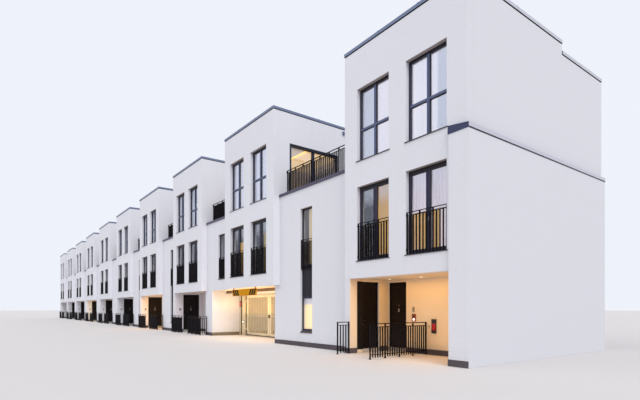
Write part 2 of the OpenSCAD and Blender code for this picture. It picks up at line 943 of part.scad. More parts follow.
module gate_posts() {
    color(gate_colour) row() {
        v = gate_v - gate_post_d / 2;
        for (u = [gate_left, post_right_u])
            slab([u, v, 0], [u + gate_post_w, v + gate_post_d, gate_top]);
        for (z = gate_hinges) {
            slab([gate_left + gate_post_w, gate_v - gate_t / 2, z - hinge_h / 2],
                [leaf_left_u - gate_seat, gate_v + gate_t / 2, z + hinge_h / 2]);
            slab([leaf_right_u + gate_leaf_w + gate_seat, gate_v - gate_t / 2, z - hinge_h / 2],
                [post_right_u, gate_v + gate_t / 2, z + hinge_h / 2]);
        }
    }
}

module gate_leaf(u) {
    h = gate_h - gate_ground_gap;
    step = (gate_leaf_w - 2 * gate_rim + bar_w) / (gate_bars + 1);
    color(gate_colour) row() front_plate(gate_v - gate_t / 2, gate_t)
        translate([u, gate_ground_gap]) difference() {
            square([gate_leaf_w, h]);
            for (k = [0 : gate_bars])
                rect(gate_rim + k * step, gate_rim, step - bar_w, h - 2 * gate_rim);
        }
}

// Dark beam under the ceiling in front of the gate, from wall to wall of the passage
module gate_beam() {
    color(railing_colour) row()
        slab([passage_left, gate_beam_v, porch_head - gate_beam_h],
            [passage_right, gate_beam_v + gate_beam_d, porch_head]);
}

gate_beam_d = 40;
sign_u = 1615;
sign_v = 20;
sign_t = 15;
hanger_h = 38;
hanger_w = 40;

module headroom_sign() {
    color(sign_colour) row() {
        u = passage_left + sign_u;
        z = porch_head - hanger_h;
        slab([u, sign_v, z - sign_h], [u + sign_w, sign_v + sign_t, z]);
        for (x = [u + hanger_w, u + sign_w - 2 * hanger_w])
            slab([x, sign_v, z], [x + hanger_w, sign_v + sign_t, porch_head]);
    }
}

ground_floors();
first_floor();
second_floor();
roofs();
terrace_decks();
block_front_walls();
bay_front_walls();
porch_side_walls();
porch_back_walls();
lintels();
party_walls();
block_side_walls();
step_walls();
rear_walls();
end_pier();
long_copings();
side_copings();
terrace_ledges();
plinths();
upper_window_frames();
french_window_frames();
stair_window_frames();
rear_window_frames();
window_glass();
window_sills();
terrace_railings();
juliet_railings();
entrance_railings();
side_railings();
door_frames();
gate_posts();
gate_beam();
headroom_sign();
gate_leaf(leaf_left_u);  // gate_leaf_left
gate_leaf(leaf_right_u);  // gate_leaf_right
side_door(0);  // side_door_a
front_door(0);  // front_door_a
side_door(2);  // side_door_c
side_door(3);  // side_door_d
side_door(4);  // side_door_e
side_door(5);  // side_door_f
side_door(6);  // side_door_g
side_door(7);  // side_door_h
side_door(8);  // side_door_i
front_door(last);  // front_door_j
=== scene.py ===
"""Looks of the terraced house row, a scale model at half size, in metres.

u runs from the left end of the row to the right, v from the block faces to the rear, and z up.
Each piece is drawn in u, v and z, and moved into the frame's own place when it is finished.
"""

import json
import math

import bmesh
import bpy
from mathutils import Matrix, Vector

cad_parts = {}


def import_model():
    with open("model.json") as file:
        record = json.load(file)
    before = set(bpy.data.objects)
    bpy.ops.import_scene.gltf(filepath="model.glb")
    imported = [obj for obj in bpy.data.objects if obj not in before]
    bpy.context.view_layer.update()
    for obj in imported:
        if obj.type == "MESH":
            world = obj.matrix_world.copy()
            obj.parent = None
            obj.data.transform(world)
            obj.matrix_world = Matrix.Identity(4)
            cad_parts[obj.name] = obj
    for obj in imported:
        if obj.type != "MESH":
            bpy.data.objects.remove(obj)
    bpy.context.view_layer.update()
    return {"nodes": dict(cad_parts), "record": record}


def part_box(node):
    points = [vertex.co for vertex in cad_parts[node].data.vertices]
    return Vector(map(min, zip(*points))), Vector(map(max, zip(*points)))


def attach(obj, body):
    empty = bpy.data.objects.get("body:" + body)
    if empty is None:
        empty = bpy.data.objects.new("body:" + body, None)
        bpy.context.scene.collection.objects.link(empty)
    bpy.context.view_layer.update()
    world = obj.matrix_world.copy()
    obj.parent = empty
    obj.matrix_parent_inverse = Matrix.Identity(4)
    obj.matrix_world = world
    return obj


ROOT = "building"
SHIFT_U = 19.914
SHIFT_V = 1.895
TOUCH = 0.001

# Plan of the row
BLOCKS = 10
LAST = BLOCKS - 1
PASSAGE = 1
BLOCK_W = 2.475
GAP_W = 1.575
WIDE_GAP_W = 2.420
DEPTH = 4.150
FRONT_PART_D = 2.440
SETBACK = 0.165
WALL_T = 0.165
BAY_WALL_T = 0.125
BAY_BACK = SETBACK + BAY_WALL_T
PARTY_T = 0.100
PORCH_WALL_T = 0.135
PORCH_D = 0.935
PASSAGE_JAMB_W = 0.375
PASSAGE_RETURN = 0.210
END_PIER_W = 0.255
PLINTH_T = 0.006

# Heights
GROUND_TOP = 0.060
PORCH_HEAD = 1.290
FIRST_TOP = 1.540
SECOND_UNDER = 3.065
SECOND_TOP = 3.215
DECK_TOP = 3.245
PARAPET_TOP = 5.145
REAR_TOP = 4.975
ROOF_DROP = 0.245
ROOF_T = 0.150
ROOF_UNDER = PARAPET_TOP - ROOF_DROP - ROOF_T
COPING_H = 0.070
COPING_OVER = 0.010
SHADOW_H = 0.015
PLINTH_H = 0.090
END_PIER_TOP = 3.115

# Windows
WINDOW_W = 0.742
WINDOW_MARGIN = 0.320
FRENCH_Z = 1.576
FRENCH_H = 1.248
FRENCH_HEAD = FRENCH_Z + FRENCH_H
FRENCH_RAIL = 0.065
FRENCH_SASH = 0.030
UPPER_Z = 3.259
UPPER_H = 1.214
UPPER_HEAD = UPPER_Z + UPPER_H
UPPER_STILE = 0.036
UPPER_MIDDLE = 0.050
UPPER_SASH = 0.014
TRANSOM_Z = 0.510
TRANSOM_H = 0.042
STAIR_W = 0.410
STAIR_X = 0.800
STAIR_Z = 0.280
STAIR_RIM = 0.025
STAIR_INSET = 0.050
STAIR_SILL_RISE = 0.050
STAIR_PANEL_LOW = 0.985
STAIR_PANEL_HIGH = 1.660
PASSAGE_WINDOW_Z = 1.580
REAR_GROUND_Z = 0.240
REAR_GROUND_H = 0.950
FRAME_INSET = 0.068
FRAME_T = 0.018
TERRACE_DOOR_V = 0.420
TERRACE_DOOR_W = 1.395
TERRACE_DOOR_H = 1.235

# How a frame is divided: stile, middle, rail, then the transom's bottom and height
UPPER_SPLIT = (UPPER_STILE, UPPER_MIDDLE, UPPER_STILE, TRANSOM_Z, TRANSOM_H)
FRENCH_SPLIT = (0.050, 0.082, FRENCH_RAIL)
TERRACE_SPLIT = (0.045, 0.075, 0.045)
SINGLE_SPLIT = (STAIR_RIM, 0.0, STAIR_RIM)

# Doors, with a letter for each block, and the side doors as (v, width)
LETTERS = "abcdefghij"
SIDE_DOOR = (0.300, 0.560)
END_SIDE_DOOR = (0.290, 0.410)
BACK_DOOR_W = 0.440
LEAF_T = 0.025
LEAF_INSET = 0.055
LEAF_EDGE = 0.026
LEAF_LOW = 0.070
LEAF_HIGH = 1.224
LEVER_Z = 0.560
LOCK_Z = 0.500

# Gate and railings
GATE_V = 1.030
GATE_T = 0.030
GATE_RIM = 0.045
GATE_POST_D = 0.060
GATE_STRIP_W = 0.098
HINGE_ROOM = 0.095
BOARD_H = 0.160
RAIL_T = 0.012
RAIL_FOOT = 0.024
TERRACE_RAIL_FOOT = 0.025
BAR_PITCH = 0.057
BAR_W = 0.011
BAR_DEPTH = 0.020
TERRACE_BAR_DEPTH = 0.024
TOP_GAP = 0.038
POST_W = 0.018
RAILING_H = 0.545
TERRACE_RAILING_H = 0.600
TERRACE_RAILING_V = BAY_BACK + 0.062
JULIET_H = 0.634
JULIET_V = 0.012
ENTRANCE_RAIL_W = 0.975
ENTRANCE_RAIL_V = 0.056
END_RAIL_U, END_RAIL_REACH = 0.110, 0.270
LONG_RAIL_U, LONG_RAIL_REACH = 1.015, 0.370


def block_right(i):
    if i == 0:
        return BLOCKS * BLOCK_W + WIDE_GAP_W + (LAST - 1) * GAP_W
    return block_right(0) - BLOCK_W - WIDE_GAP_W - (i - 1) * (BLOCK_W + GAP_W)


def block_left(i):
    return block_right(i) - BLOCK_W


def bay_left(j):
    return block_right(j + 1)


def bay_right(j):
    return block_left(j)


def window_left(i, n):
    return block_left(i) + WINDOW_MARGIN + n * (BLOCK_W - 2 * WINDOW_MARGIN - WINDOW_W)


def porch_left(i):
    return block_left(i) + (WALL_T if i == LAST else PORCH_WALL_T)


def porch_right(i):
    return ROW_LEN - END_PIER_W if i == 0 else block_right(i) - PARTY_T


ROW_LEN = block_right(0)
BAYS = list(range(LAST))
PORCHES = [i for i in range(BLOCKS) if i != PASSAGE]
PASSAGE_LEFT = bay_left(PASSAGE) + PASSAGE_JAMB_W
PASSAGE_RIGHT = block_right(PASSAGE) - PASSAGE_RETURN
PASSAGE_MIDDLE = (PASSAGE_LEFT + PASSAGE_RIGHT) / 2
WINDOWS_U = [window_left(i, n) for i in range(BLOCKS) for n in (0, 1)]


class Wall:
    """A wall face: x runs along it and depth goes into it, both from the origin in plan."""

    def __init__(self, origin, along, inward):
        self.origin, self.along, self.inward = origin, along, inward

    def at(self, x, z, depth=0.0):
        u, v = (o + a * x + i * depth for o, a, i in zip(self.origin, self.along, self.inward))
        return (u, v, z)


def front_at(v):
    """A face toward the street."""
    return Wall((0, v), (1, 0), (0, 1))


def side_at(u, v, inward):
    """A face across the row, which starts at v and runs to the rear."""
    return Wall((u, v), (0, 1), (inward, 0))


FRONT = front_at(0)
BAY_FRONT = front_at(SETBACK)
REAR = Wall((0, DEPTH), (1, 0), (0, -1))


class Shape:
    """Collects closed solids, and makes one mesh of them."""

    def __init__(self):
        self.points, self.faces = [], []

    def add(self, points, faces):
        start = len(self.points)
        self.points += [tuple(p) for p in points]
        self.faces += [[start + k for k in face] for face in faces]
        return self

    def prism(self, outline, lift):
        """A flat outline of points, swept along the vector lift."""
        n = len(outline)
        far = [tuple(Vector(p) + Vector(lift)) for p in outline]
        sides = [[k, (k + 1) % n, n + (k + 1) % n, n + k] for k in range(n)]
        return self.add(list(outline) + far, [list(range(n)), list(range(n, 2 * n))] + sides)

    def box(self, low, high):
        (a, b, c), (d, e, f) = low, high
        return self.prism([(a, b, c), (d, b, c), (d, e, c), (a, e, c)], (0, 0, f - c))

    def block(self, wall, x, z, w, h, depth, thickness):
        """A box on a wall, from depth to depth + thickness."""
        outline = [wall.at(x, z, depth), wall.at(x + w, z, depth),
                   wall.at(x + w, z + h, depth), wall.at(x, z + h, depth)]
        lift = Vector(wall.at(x, z, depth + thickness)) - Vector(outline[0])
        return self.prism(outline, lift)

    def ring(self, wall, x, z, w, h, profile):
        """A mitred moulding round a rectangle. The profile's points are (inset, depth)."""
        points, n = [], len(profile)
        for right, up in ((0, 0), (1, 0), (1, 1), (0, 1)):
            for inset, depth in profile:
                px = x + (w - inset if right else inset)
                pz = z + (h - inset if up else inset)
                points.append(wall.at(px, pz, depth))
        faces = []
        for corner in range(4):
            after = (corner + 1) % 4
            for k in range(n):
                m = (k + 1) % n
                faces.append([corner * n + k, after * n + k, after * n + m, corner * n + m])
        return self.add(points, faces)

    def rod(self, start, end, radius, sides=12):
        """A round rod between two points."""
        start, end = Vector(start), Vector(end)
        turn = (end - start).to_track_quat("Z", "Y")
        outline = [tuple(start + turn @ (Vector((c, s, 0)) * radius)) for c, s in circle(sides)]
        return self.prism(outline, end - start)

    def stud(self, wall, x, z, depth, thickness, radius, sides=20):
        """A round rod that stands on a wall, from depth to depth + thickness."""
        return self.rod(wall.at(x, z, depth), wall.at(x, z, depth + thickness), radius, sides)

    def torus(self, centre, normal, radius, thickness, sides=24, tube=8):
        centre = Vector(centre)
        turn = Vector(normal).to_track_quat("Z", "Y")
        points, faces = [], []
        for a, (cos_a, sin_a) in enumerate(circle(sides)):
            for b, (cos_b, sin_b) in enumerate(circle(tube)):
                reach = radius + thickness * cos_b
                spoke = Vector((reach * cos_a, reach * sin_a, thickness * sin_b))
                points.append(tuple(centre + turn @ spoke))
                c, d = (a + 1) % sides, (b + 1) % tube
                faces.append([a * tube + b, c * tube + b, c * tube + d, a * tube + d])
        return self.add(points, faces)

    def piece(self, name, look, body=ROOT, bevel=0.0):
        mesh = bpy.data.meshes.new(name)
        moved = [(u - SHIFT_U, v - SHIFT_V, z) for u, v, z in self.points]
        mesh.from_pydata(moved, [], self.faces)
        cleaned = bmesh.new()
        cleaned.from_mesh(mesh)
        bmesh.ops.recalc_face_normals(cleaned, faces=cleaned.faces)
        cleaned.to_mesh(mesh)
        cleaned.free()
        piece = add_piece(name, mesh, look, body)
        if bevel:
            soften(piece, bevel)


def circle(count):
    """The cosine and sine of each corner of a round outline."""
    angles = [2 * math.pi * k / count for k in range(count)]
    return [(math.cos(angle), math.sin(angle)) for angle in angles]


def add_object(name, data):
    thing = bpy.data.objects.new(name, data)
    bpy.context.scene.collection.objects.link(thing)
    return thing


def add_piece(name, mesh, look, body=ROOT):
    """A piece in one of the LOOKS, which rides on a body."""
    mesh.materials.append(LOOKS[look])
    piece = add_object(name, mesh)
    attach(piece, body)
    return piece


def soften(piece, width, segments=2):
    """Rounds the sharp edges a little, so that they catch the light."""
    weld = piece.modifiers.new("weld", "WELD")
    weld.merge_threshold = 0.00005
    bevel = piece.modifiers.new("bevel", "BEVEL")
    bevel.width = width
    bevel.segments = segments
    bevel.limit_method = "ANGLE"
    bevel.angle_limit = math.radians(40)
    bevel.use_clamp_overlap = True


# Materials
WHITE = (0.745, 0.745, 0.79)
# A cream that stands in for warm lamplight, painted on the porch and passage soffits and inside the
# right-hand porch
LAMPLIGHT_CREAM = (0.745, 0.635, 0.495)
# Painted shade, for the necks in the shadow gaps under the copings
PAINTED_GAP_SHADE = (0.006, 0.006, 0.008)

# The materials by look. The frame's nodes use the look named like their slot.
LOOKS = {}


class Nodes:
    """Adds nodes to a tree, and feeds their sockets."""

    def __init__(self, tree):
        self.tree = tree

    def feed(self, socket, value):
        """Links the socket to a node's output, or sets it to a plain value."""
        if isinstance(value, bpy.types.NodeSocket):
            self.tree.links.new(value, socket)
        else:
            socket.default_value = value

    def node(self, kind, output, inputs, **settings):
        node = self.tree.nodes.new("ShaderNode" + kind)
        for name, value in settings.items():
            setattr(node, name, value)
        for name, value in inputs.items():
            self.feed(node.inputs[name], value)
        return node.outputs[output]

    def math(self, operation, first, second):
        return self.node("Math", "Value", {0: first, 1: second}, operation=operation)


class Paint(Nodes):
    """A material built round one Principled shader."""

    def __init__(self, name, colour, roughness, metallic=0.0):
        self.material = bpy.data.materials.new(name)
        self.material.use_nodes = True
        self.material.diffuse_color = (*colour, 1)
        super().__init__(self.material.node_tree)
        self.shader = self.tree.nodes["Principled BSDF"]
        self.own, self.colour = colour, (*colour, 1)
        self.fix("Base Color", self.colour).fix("Roughness", roughness).fix("Metallic", metallic)
        sources = self.tree.nodes.new("ShaderNodeTexCoord").outputs
        self.coords, self.normals = sources["Object"], sources["Normal"]

    def fix(self, socket, value):
        self.feed(self.shader.inputs[socket], value)
        return self

    def noise(self, scale, detail=4.0, stretch=(1, 1, 1)):
        place = self.node("Mapping", "Vector", {"Vector": self.coords, "Scale": stretch})
        return self.node("TexNoise", "Fac", {"Vector": place, "Scale": scale, "Detail": detail})

    def remap(self, value, low, high, to_low=0.0, to_high=1.0):
        return self.node("MapRange", "Result", {"Value": value, "From Min": low, "From Max": high,
                                                "To Min": to_low, "To Max": to_high})

    def both(self, first, second):
        return self.math("MULTIPLY", first, second)

    def axis(self, name, source=None):
        return self.node("SeparateXYZ", name, {"Vector": source or self.coords})

    def beyond(self, axis, place):
        """1 past a place on an axis of the frame, and 0 before it."""
        return self.math("GREATER_THAN", self.axis(axis), place)

    def below(self, z):
        return self.math("LESS_THAN", self.axis("Z"), z)

    def near(self, axis, centre, half):
        """1 within half of the centre, on an axis of the frame."""
        away = self.math("ABSOLUTE", self.math("SUBTRACT", self.axis(axis), centre), 0.0)
        return self.math("LESS_THAN", away, half)

    def between(self, axis, low, high):
        """1 from low to high, which are given in u or v."""
        shift = SHIFT_U if axis == "X" else SHIFT_V
        return self.near(axis, (low + high) / 2 - shift, (high - low) / 2 + TOUCH)

    def facing_right(self):
        return self.math("GREATER_THAN", self.axis("X", self.normals), 0.7)

    def tint(self, mask, look):
        """Mixes in a colour, or the own colour times a number, where the mask is 1."""
        colour = look if isinstance(look, tuple) else tuple(look * c for c in self.own)
        inputs = {"Factor": mask, "A": self.colour, "B": (*colour, 1)}
        self.colour = self.node("Mix", "Result", inputs, data_type="RGBA")
        return self.fix("Base Color", self.colour)

    def vary(self, scale, look, low=0.35, high=0.75, stretch=(1, 1, 1)):
        return self.tint(self.remap(self.noise(scale, 4.0, stretch), low, high), look)

    def rough(self, scale, low, high):
        return self.fix("Roughness", self.remap(self.noise(scale, 3.0), 0.3, 0.7, low, high))

    def bump(self, height, strength, distance):
        inputs = {"Height": height, "Strength": strength, "Distance": distance}
        return self.fix("Normal", self.node("Bump", "Normal", inputs))

    def glow(self, colour, strength):
        return self.fix("Emission Color", (*colour, 1)).fix("Emission Strength", strength)


def wall_render():
    """White render, with painted shade on the right-hand gable, and painted warm lamplight as a
    cream tint inside the right-hand porch.
    """
    paint = Paint("wall_render", WHITE, 0.85).vary(0.5, 0.955)
    paint.vary(9.0, 0.97, stretch=(1, 1, 0.12)).vary(45.0, 1.035, low=0.5, high=0.8)
    splash = paint.remap(paint.axis("Z"), 0.30, 0.05, 0.0, 0.25)
    paint.tint(paint.both(splash, paint.noise(6.0)), (0.45, 0.43, 0.42))
    # Painted shade: the right-hand faces of the gable are darker.
    gable = paint.beyond("X", ROW_LEN - 0.1 - SHIFT_U)
    paint.tint(paint.both(gable, paint.facing_right()), 0.87)
    # Painted lamplight: the walls inside the right-hand porch are tinted cream.
    porch = paint.both(paint.between("X", porch_left(0), porch_right(0)),
                       paint.below(PORCH_HEAD - TOUCH))
    paint.tint(paint.both(porch, paint.between("Y", 0.0, PORCH_D)), LAMPLIGHT_CREAM)
    grain = paint.math("ADD", paint.noise(320.0, 3.0), paint.noise(22.0, 2.0))
    return paint.bump(grain, 0.16, 0.0014).material


def floor_screed():
    """Screed on top, white plaster on the ceilings under the second floor, and a cream tint on the
    porch and passage soffits, which is painted warm lamplight.
    """
    paint = Paint("floor_screed", (0.46, 0.44, 0.42), 0.75).vary(3.0, 0.85)
    # White plaster on the ceilings, and painted lamplight in cream on the soffits
    for ceiling, plaster_and_lamplight in ((PORCH_HEAD, LAMPLIGHT_CREAM), (SECOND_UNDER, WHITE)):
        paint.tint(paint.near("Z", ceiling, TOUCH), plaster_and_lamplight)
    return paint.bump(paint.noise(90.0), 0.2, 0.001).material


def roof_felt():
    paint = Paint("roof_felt", (0.17, 0.175, 0.185), 0.9)
    paint.vary(1.2, 0.75).vary(260.0, 1.9, low=0.55, high=0.7)
    for roof_top in (PARAPET_TOP, REAR_TOP):
        under = roof_top - ROOF_DROP - ROOF_T
        paint.tint(paint.near("Z", under, TOUCH), WHITE)
    return paint.bump(paint.noise(260.0), 0.4, 0.002).material


def coping_metal():
    """Blue-grey metal, with painted shade in black on the neck in each shadow gap, and a pale
    painted reflection of the sky on the right-hand faces along the gable and on the end pier's cap.
    """
    # A pale sky colour, for a painted reflection on the right-hand faces.
    pale = (0.55, 0.55, 0.62)
    paint = Paint("coping_metal", (0.175, 0.215, 0.330), 0.36, 0.35).vary(2.5, 0.85)
    facing_right, low = paint.facing_right(), paint.below(4.0)
    # Painted reflection of the sky on the right-hand faces of the gable's copings.
    gable = paint.beyond("X", ROW_LEN - WALL_T / 2 - SHIFT_U)
    paint.tint(paint.both(gable, facing_right), pale)
    paint.tint(low, (0.040, 0.046, 0.105))
    # The same painted reflection on the right-hand faces of the end pier's cap.
    paint.tint(paint.both(low, facing_right), pale)
    # Painted shade: the neck in each shadow gap, and the one on the end pier's cap, is tinted
    # black.
    half = SHADOW_H / 2
    for top in (PARAPET_TOP, REAR_TOP):
        paint.tint(paint.near("Z", top + half, half), PAINTED_GAP_SHADE)
    paint.tint(paint.both(paint.near("Z", END_PIER_TOP + half, half), facing_right), PAINTED_GAP_SHADE)
    return paint.rough(14.0, 0.30, 0.46).bump(paint.noise(3.0, 2.0), 0.08, 0.004).material


def ledge_metal():
    paint = Paint("ledge_metal", (0.080, 0.070, 0.120), 0.4, 0.3).vary(3.0, 0.75)
    return paint.rough(14.0, 0.34, 0.5).bump(paint.noise(4.0, 2.0), 0.08, 0.003).material


def sill_metal():
    paint = Paint("sill_metal", (0.050, 0.042, 0.050), 0.42, 0.2)
    return paint.vary(6.0, 0.75, stretch=(1, 4, 1)).rough(16.0, 0.36, 0.5).material


def plinth_stone():
    """Dark stone, with the warm light of the passage lamps painted on as a tan tint inside the
    passage.
    """
    paint = Paint("plinth_stone", (0.090, 0.074, 0.086), 0.8).vary(5.0, (0.13, 0.105, 0.115))
    # Painted lamplight: a tan tint on the plinth inside the passage.
    passage = paint.both(paint.between("X", PASSAGE_LEFT, PASSAGE_RIGHT),
                         paint.beyond("Y", SETBACK + TOUCH - SHIFT_V))
    paint.tint(passage, (0.30, 0.24, 0.15)).vary(40.0, 0.5, stretch=(1, 1, 6))
    return paint.bump(paint.noise(30.0, 6.0, (1, 1, 5)), 0.6, 0.003).material


def frame_metal():
    """Dark blue on the top storey, nearly black below it, and black in the shade of the heads."""
    paint = Paint("frame_metal", (0.026, 0.031, 0.070), 0.4).fix("Specular IOR Level", 0.35)
    paint.vary(3.0, 0.75).tint(paint.below(2.95), (0.022, 0.019, 0.046))
    for head, rail in ((UPPER_HEAD, UPPER_STILE), (FRENCH_HEAD, FRENCH_RAIL)):
        paint.tint(paint.near("Z", head - rail / 2, rail / 2), (0.008, 0.006, 0.010))
    return paint.rough(20.0, 0.34, 0.48).bump(paint.noise(500.0), 0.05, 0.0004).material


def window_glass():
    """Coated glazing, whose reflection of the sky is painted in through its alpha: it mirrors most
    high up and least in the terrace doors.
    """
    paint = Paint("window_glass", (0.84, 0.88, 0.99), 0.03, 1.0).vary(0.35, 0.93)
    z = paint.axis("Z")
    # Painted reflection: the glass mirrors more of the sky higher up.
    painted_mirror_share = paint.math("ADD", paint.remap(z, 2.44, 2.64, 0.08, 0.26),
                        paint.remap(z, 2.9, 3.2, 0.0, 0.31))
    # Less painted reflection in the terrace doors and the stair windows.
    inside = paint.near("Y", (BAY_BACK + DEPTH) / 2 - SHIFT_V, DEPTH / 2 - BAY_BACK)
    stairs = paint.near("Y", SETBACK + STAIR_INSET + FRAME_T - SHIFT_V, 0.020)
    less_painted_mirror = paint.math("MULTIPLY", paint.math("ADD", inside, stairs), 0.46)
    paint.fix("Alpha", paint.math("MAXIMUM", paint.math("SUBTRACT", painted_mirror_share, less_painted_mirror), 0.08))
    return paint.bump(paint.noise(1.6, 1.0), 0.03, 0.02).material


def painted(name, colour, roughness=0.38, metallic=0.0, specular=0.5):
    paint = Paint(name, colour, roughness, metallic).fix("Specular IOR Level", specular)
    paint.vary(4.0, 0.82).rough(25.0, roughness - 0.06, roughness + 0.08)
    return paint.bump(paint.noise(420.0), 0.06, 0.0004).material


def door_wood():
    paint = Paint("door_wood", (0.006, 0.004, 0.0045), 0.45).fix("Specular IOR Level", 0.18)
    paint.vary(16.0, 1.7, low=0.5, high=0.8, stretch=(1, 1, 0.06))
    return paint.bump(paint.noise(60.0, 4.0, (1, 1, 0.05)), 0.18, 0.0006).material


def paver_stone():
    paint = Paint("paver_stone", (0.50, 0.49, 0.47), 0.8).vary(2.2, 0.82)
    return paint.bump(paint.noise(120.0), 0.3, 0.001).material


def bell_plate_metal():
    paint = Paint("bell_plate_metal", (0.42, 0.12, 0.075), 0.35, 0.6)
    return paint.vary(30.0, (0.30, 0.08, 0.05)).material


def curtain_cloth(name, colour, glow=0.0):
    """Cloth that glows where a lamp behind it would shine through."""
    paint = Paint(name, colour, 0.9).fix("Sheen Weight", 0.3)
    paint.vary(60.0, 0.86, stretch=(4, 4, 0.2))
    if glow:
        paint.glow(colour, glow)
    weave = paint.math("ADD", paint.noise(900.0, 1.0, (1, 1, 0.2)),
                       paint.noise(900.0, 1.0, (0.2, 0.2, 1)))
    return paint.bump(weave, 0.15, 0.0004).material


def lamp(name, colour, strength):
    paint = Paint(name, colour, 0.25).glow(colour, strength)
    return paint.bump(paint.noise(150.0), 0.05, 0.0005).material


def make_looks():
    LOOKS.update({
        "render": wall_render(),
        "floor": floor_screed(),
        "roof": roof_felt(),
        "coping": coping_metal(),
        "ledge": ledge_metal(),
        "sill": sill_metal(),
        "plinth": plinth_stone(),
        "frame": frame_metal(),
        "glass": window_glass(),
        "door": door_wood(),
        "paver": paver_stone(),
        "bell_plate": bell_plate_metal(),
        # A lighter copy of the frame blue: a painted reflection of the sky.
        "frame_sky_highlight": painted("frame_sky_highlight_metal", (0.085, 0.110, 0.215), 0.4),
        "railing": painted("railing_paint", (0.007, 0.005, 0.007), 0.6, specular=0.12),
        "gate": painted("gate_paint", (0.62, 0.55, 0.39)),
        "beam": painted("beam_paint", (0.20, 0.125, 0.060), 0.5),
        "sign": painted("sign_paint", (0.64, 0.275, 0.006), 0.6, specular=0.06),
        "stripe": painted("stripe_paint", (0.006, 0.004, 0.004), 0.6, specular=0.08),
        "door_frame": painted("door_frame_paint", (0.008, 0.006, 0.007), 0.5, specular=0.18),
        "door_steel": painted("door_steel", (0.09, 0.085, 0.09), 0.4, 1.0),
        "fitting": painted("fitting_steel", (0.60, 0.60, 0.61), 0.28, 1.0),
        "number": painted("number_paint", (0.018, 0.016, 0.018)),
        "blank_plate": painted("plate_enamel", (0.16, 0.14, 0.16), 0.4),
        "meter_box": painted("meter_box_paint", (0.025, 0.020, 0.022)),
        "meter_pane": painted("meter_pane_red", (0.42, 0.022, 0.028), 0.25),
        "spandrel": painted("spandrel_panel", (0.011, 0.010, 0.017), 0.5, specular=0.25),
        # A darker, warmer copy of the render for the window heads: painted shade with warm bounced
        # light.
        "soffit": painted("shaded_soffit_render", (0.37, 0.325, 0.315), 0.8),
        "sealant": painted("sealant_rubber", (0.025, 0.025, 0.028), 0.7),
        "lamp_red": lamp("red_lens", (0.80, 0.05, 0.03), 1.6),
        "lamp_white": lamp("white_lens", (1.0, 0.90, 0.72), 2.5),
        # A glowing lining that is no lamp: painted light from a lit room, on the stair window's
        # blind.
        "lit_room": lamp("lit_lining", (0.95, 0.74, 0.40), 0.60),
        "ceiling_lamp": lamp("ceiling_lens", (1.0, 0.68, 0.32), 6.0),
        "cornice_lamp": lamp("cornice_lens", (1.0, 0.66, 0.16), 1.0),
        # Glowing ceiling plaster beside the cornice light: painted lamplight.
        "cornice_painted_glow": lamp("cornice_painted_glow", (0.90, 0.68, 0.38), 0.45),
        "curtain": curtain_cloth("curtain_sheer", (0.76, 0.71, 0.77), 0.31),
        "curtain_bright": curtain_cloth("curtain_bright", (0.80, 0.70, 0.64), 0.72),
        "drape": curtain_cloth("drape_yellow", (0.74, 0.47, 0.12), 0.24),
        "drape_olive": curtain_cloth("drape_olive", (0.34, 0.25, 0.045), 0.40),
        "drape_stair": curtain_cloth("drape_stair", (0.44, 0.35, 0.20), 0.55),
        "drape_dark": curtain_cloth("drape_green", (0.018, 0.026, 0.025)),
    })


def dress_frame(frame):
    """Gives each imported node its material, and the plain walls a soft edge."""
    nodes = frame["nodes"]
    slot_of = {row["node"]: row["material_slot"] for row in frame["record"]["subparts"]}
    for name, node in nodes.items():
        node.data.materials.clear()
        node.data.materials.append(LOOKS[slot_of[name]])
    for name, look in (("gate_beam", "beam"), ("door_frames", "door_frame")):
        nodes[name].data.materials[0] = LOOKS[look]
    for name in ("block_front_walls", "bay_front_walls", "porch_side_walls", "end_pier"):
        soften(nodes[name], 0.0025)
    for name in ("long_copings", "side_copings", "terrace_ledges", "window_sills"):
        soften(nodes[name], 0.0015, 1)


# Windows
def split_panes(w, h, stile, middle, rail, transom_z=None, transom=0.0):
    """Panes of a window as (x, z, w, h), two beside each other and in one or two rows."""
    pane_w = (w - 2 * stile - middle) / 2 if middle else w - 2 * stile
    columns = [stile, stile + pane_w + middle] if middle else [stile]
    if transom_z is None:
        rows = [(rail, h - 2 * rail)]
    else:
        high = transom_z + transom
        rows = [(rail, transom_z - rail), (high, h - rail - high)]
    return [(x, z, pane_w, pane_h) for x in columns for z, pane_h in rows]


def front_windows():
    """Each window as (wall, x, z, w, h, split, sash)."""
    found = []
    for x in WINDOWS_U:
        found.append((FRONT, x, UPPER_Z, WINDOW_W, UPPER_H, UPPER_SPLIT, UPPER_SASH))
        found.append((FRONT, x, FRENCH_Z, WINDOW_W, FRENCH_H, FRENCH_SPLIT, FRENCH_SASH))
    walls = [side_at(block_left(i), 0, 1) for i in range(1, LAST)]
    for wall in walls + [side_at(block_right(PASSAGE), 0, -1)]:
        found.append((wall, TERRACE_DOOR_V, DECK_TOP, TERRACE_DOOR_W, TERRACE_DOOR_H,
                      TERRACE_SPLIT, FRENCH_SASH))
    return found


def rear_windows():
    found = []
    for i in range(BLOCKS):
        rows = [(FRENCH_Z, FRENCH_H, FRENCH_SPLIT, FRENCH_SASH),
                (UPPER_Z, UPPER_H, UPPER_SPLIT, UPPER_SASH)]
        if i != PASSAGE:
            rows.append((REAR_GROUND_Z, REAR_GROUND_H, FRENCH_SPLIT, FRENCH_SASH))
        for z, h, split, sash in rows:
            found += [(REAR, window_left(i, n), z, WINDOW_W, h, split, sash) for n in (0, 1)]
            if i != LAST:
                found.append((REAR, bay_left(i) + STAIR_X, z, STAIR_W, h, SINGLE_SPLIT, 0.0))
    return found


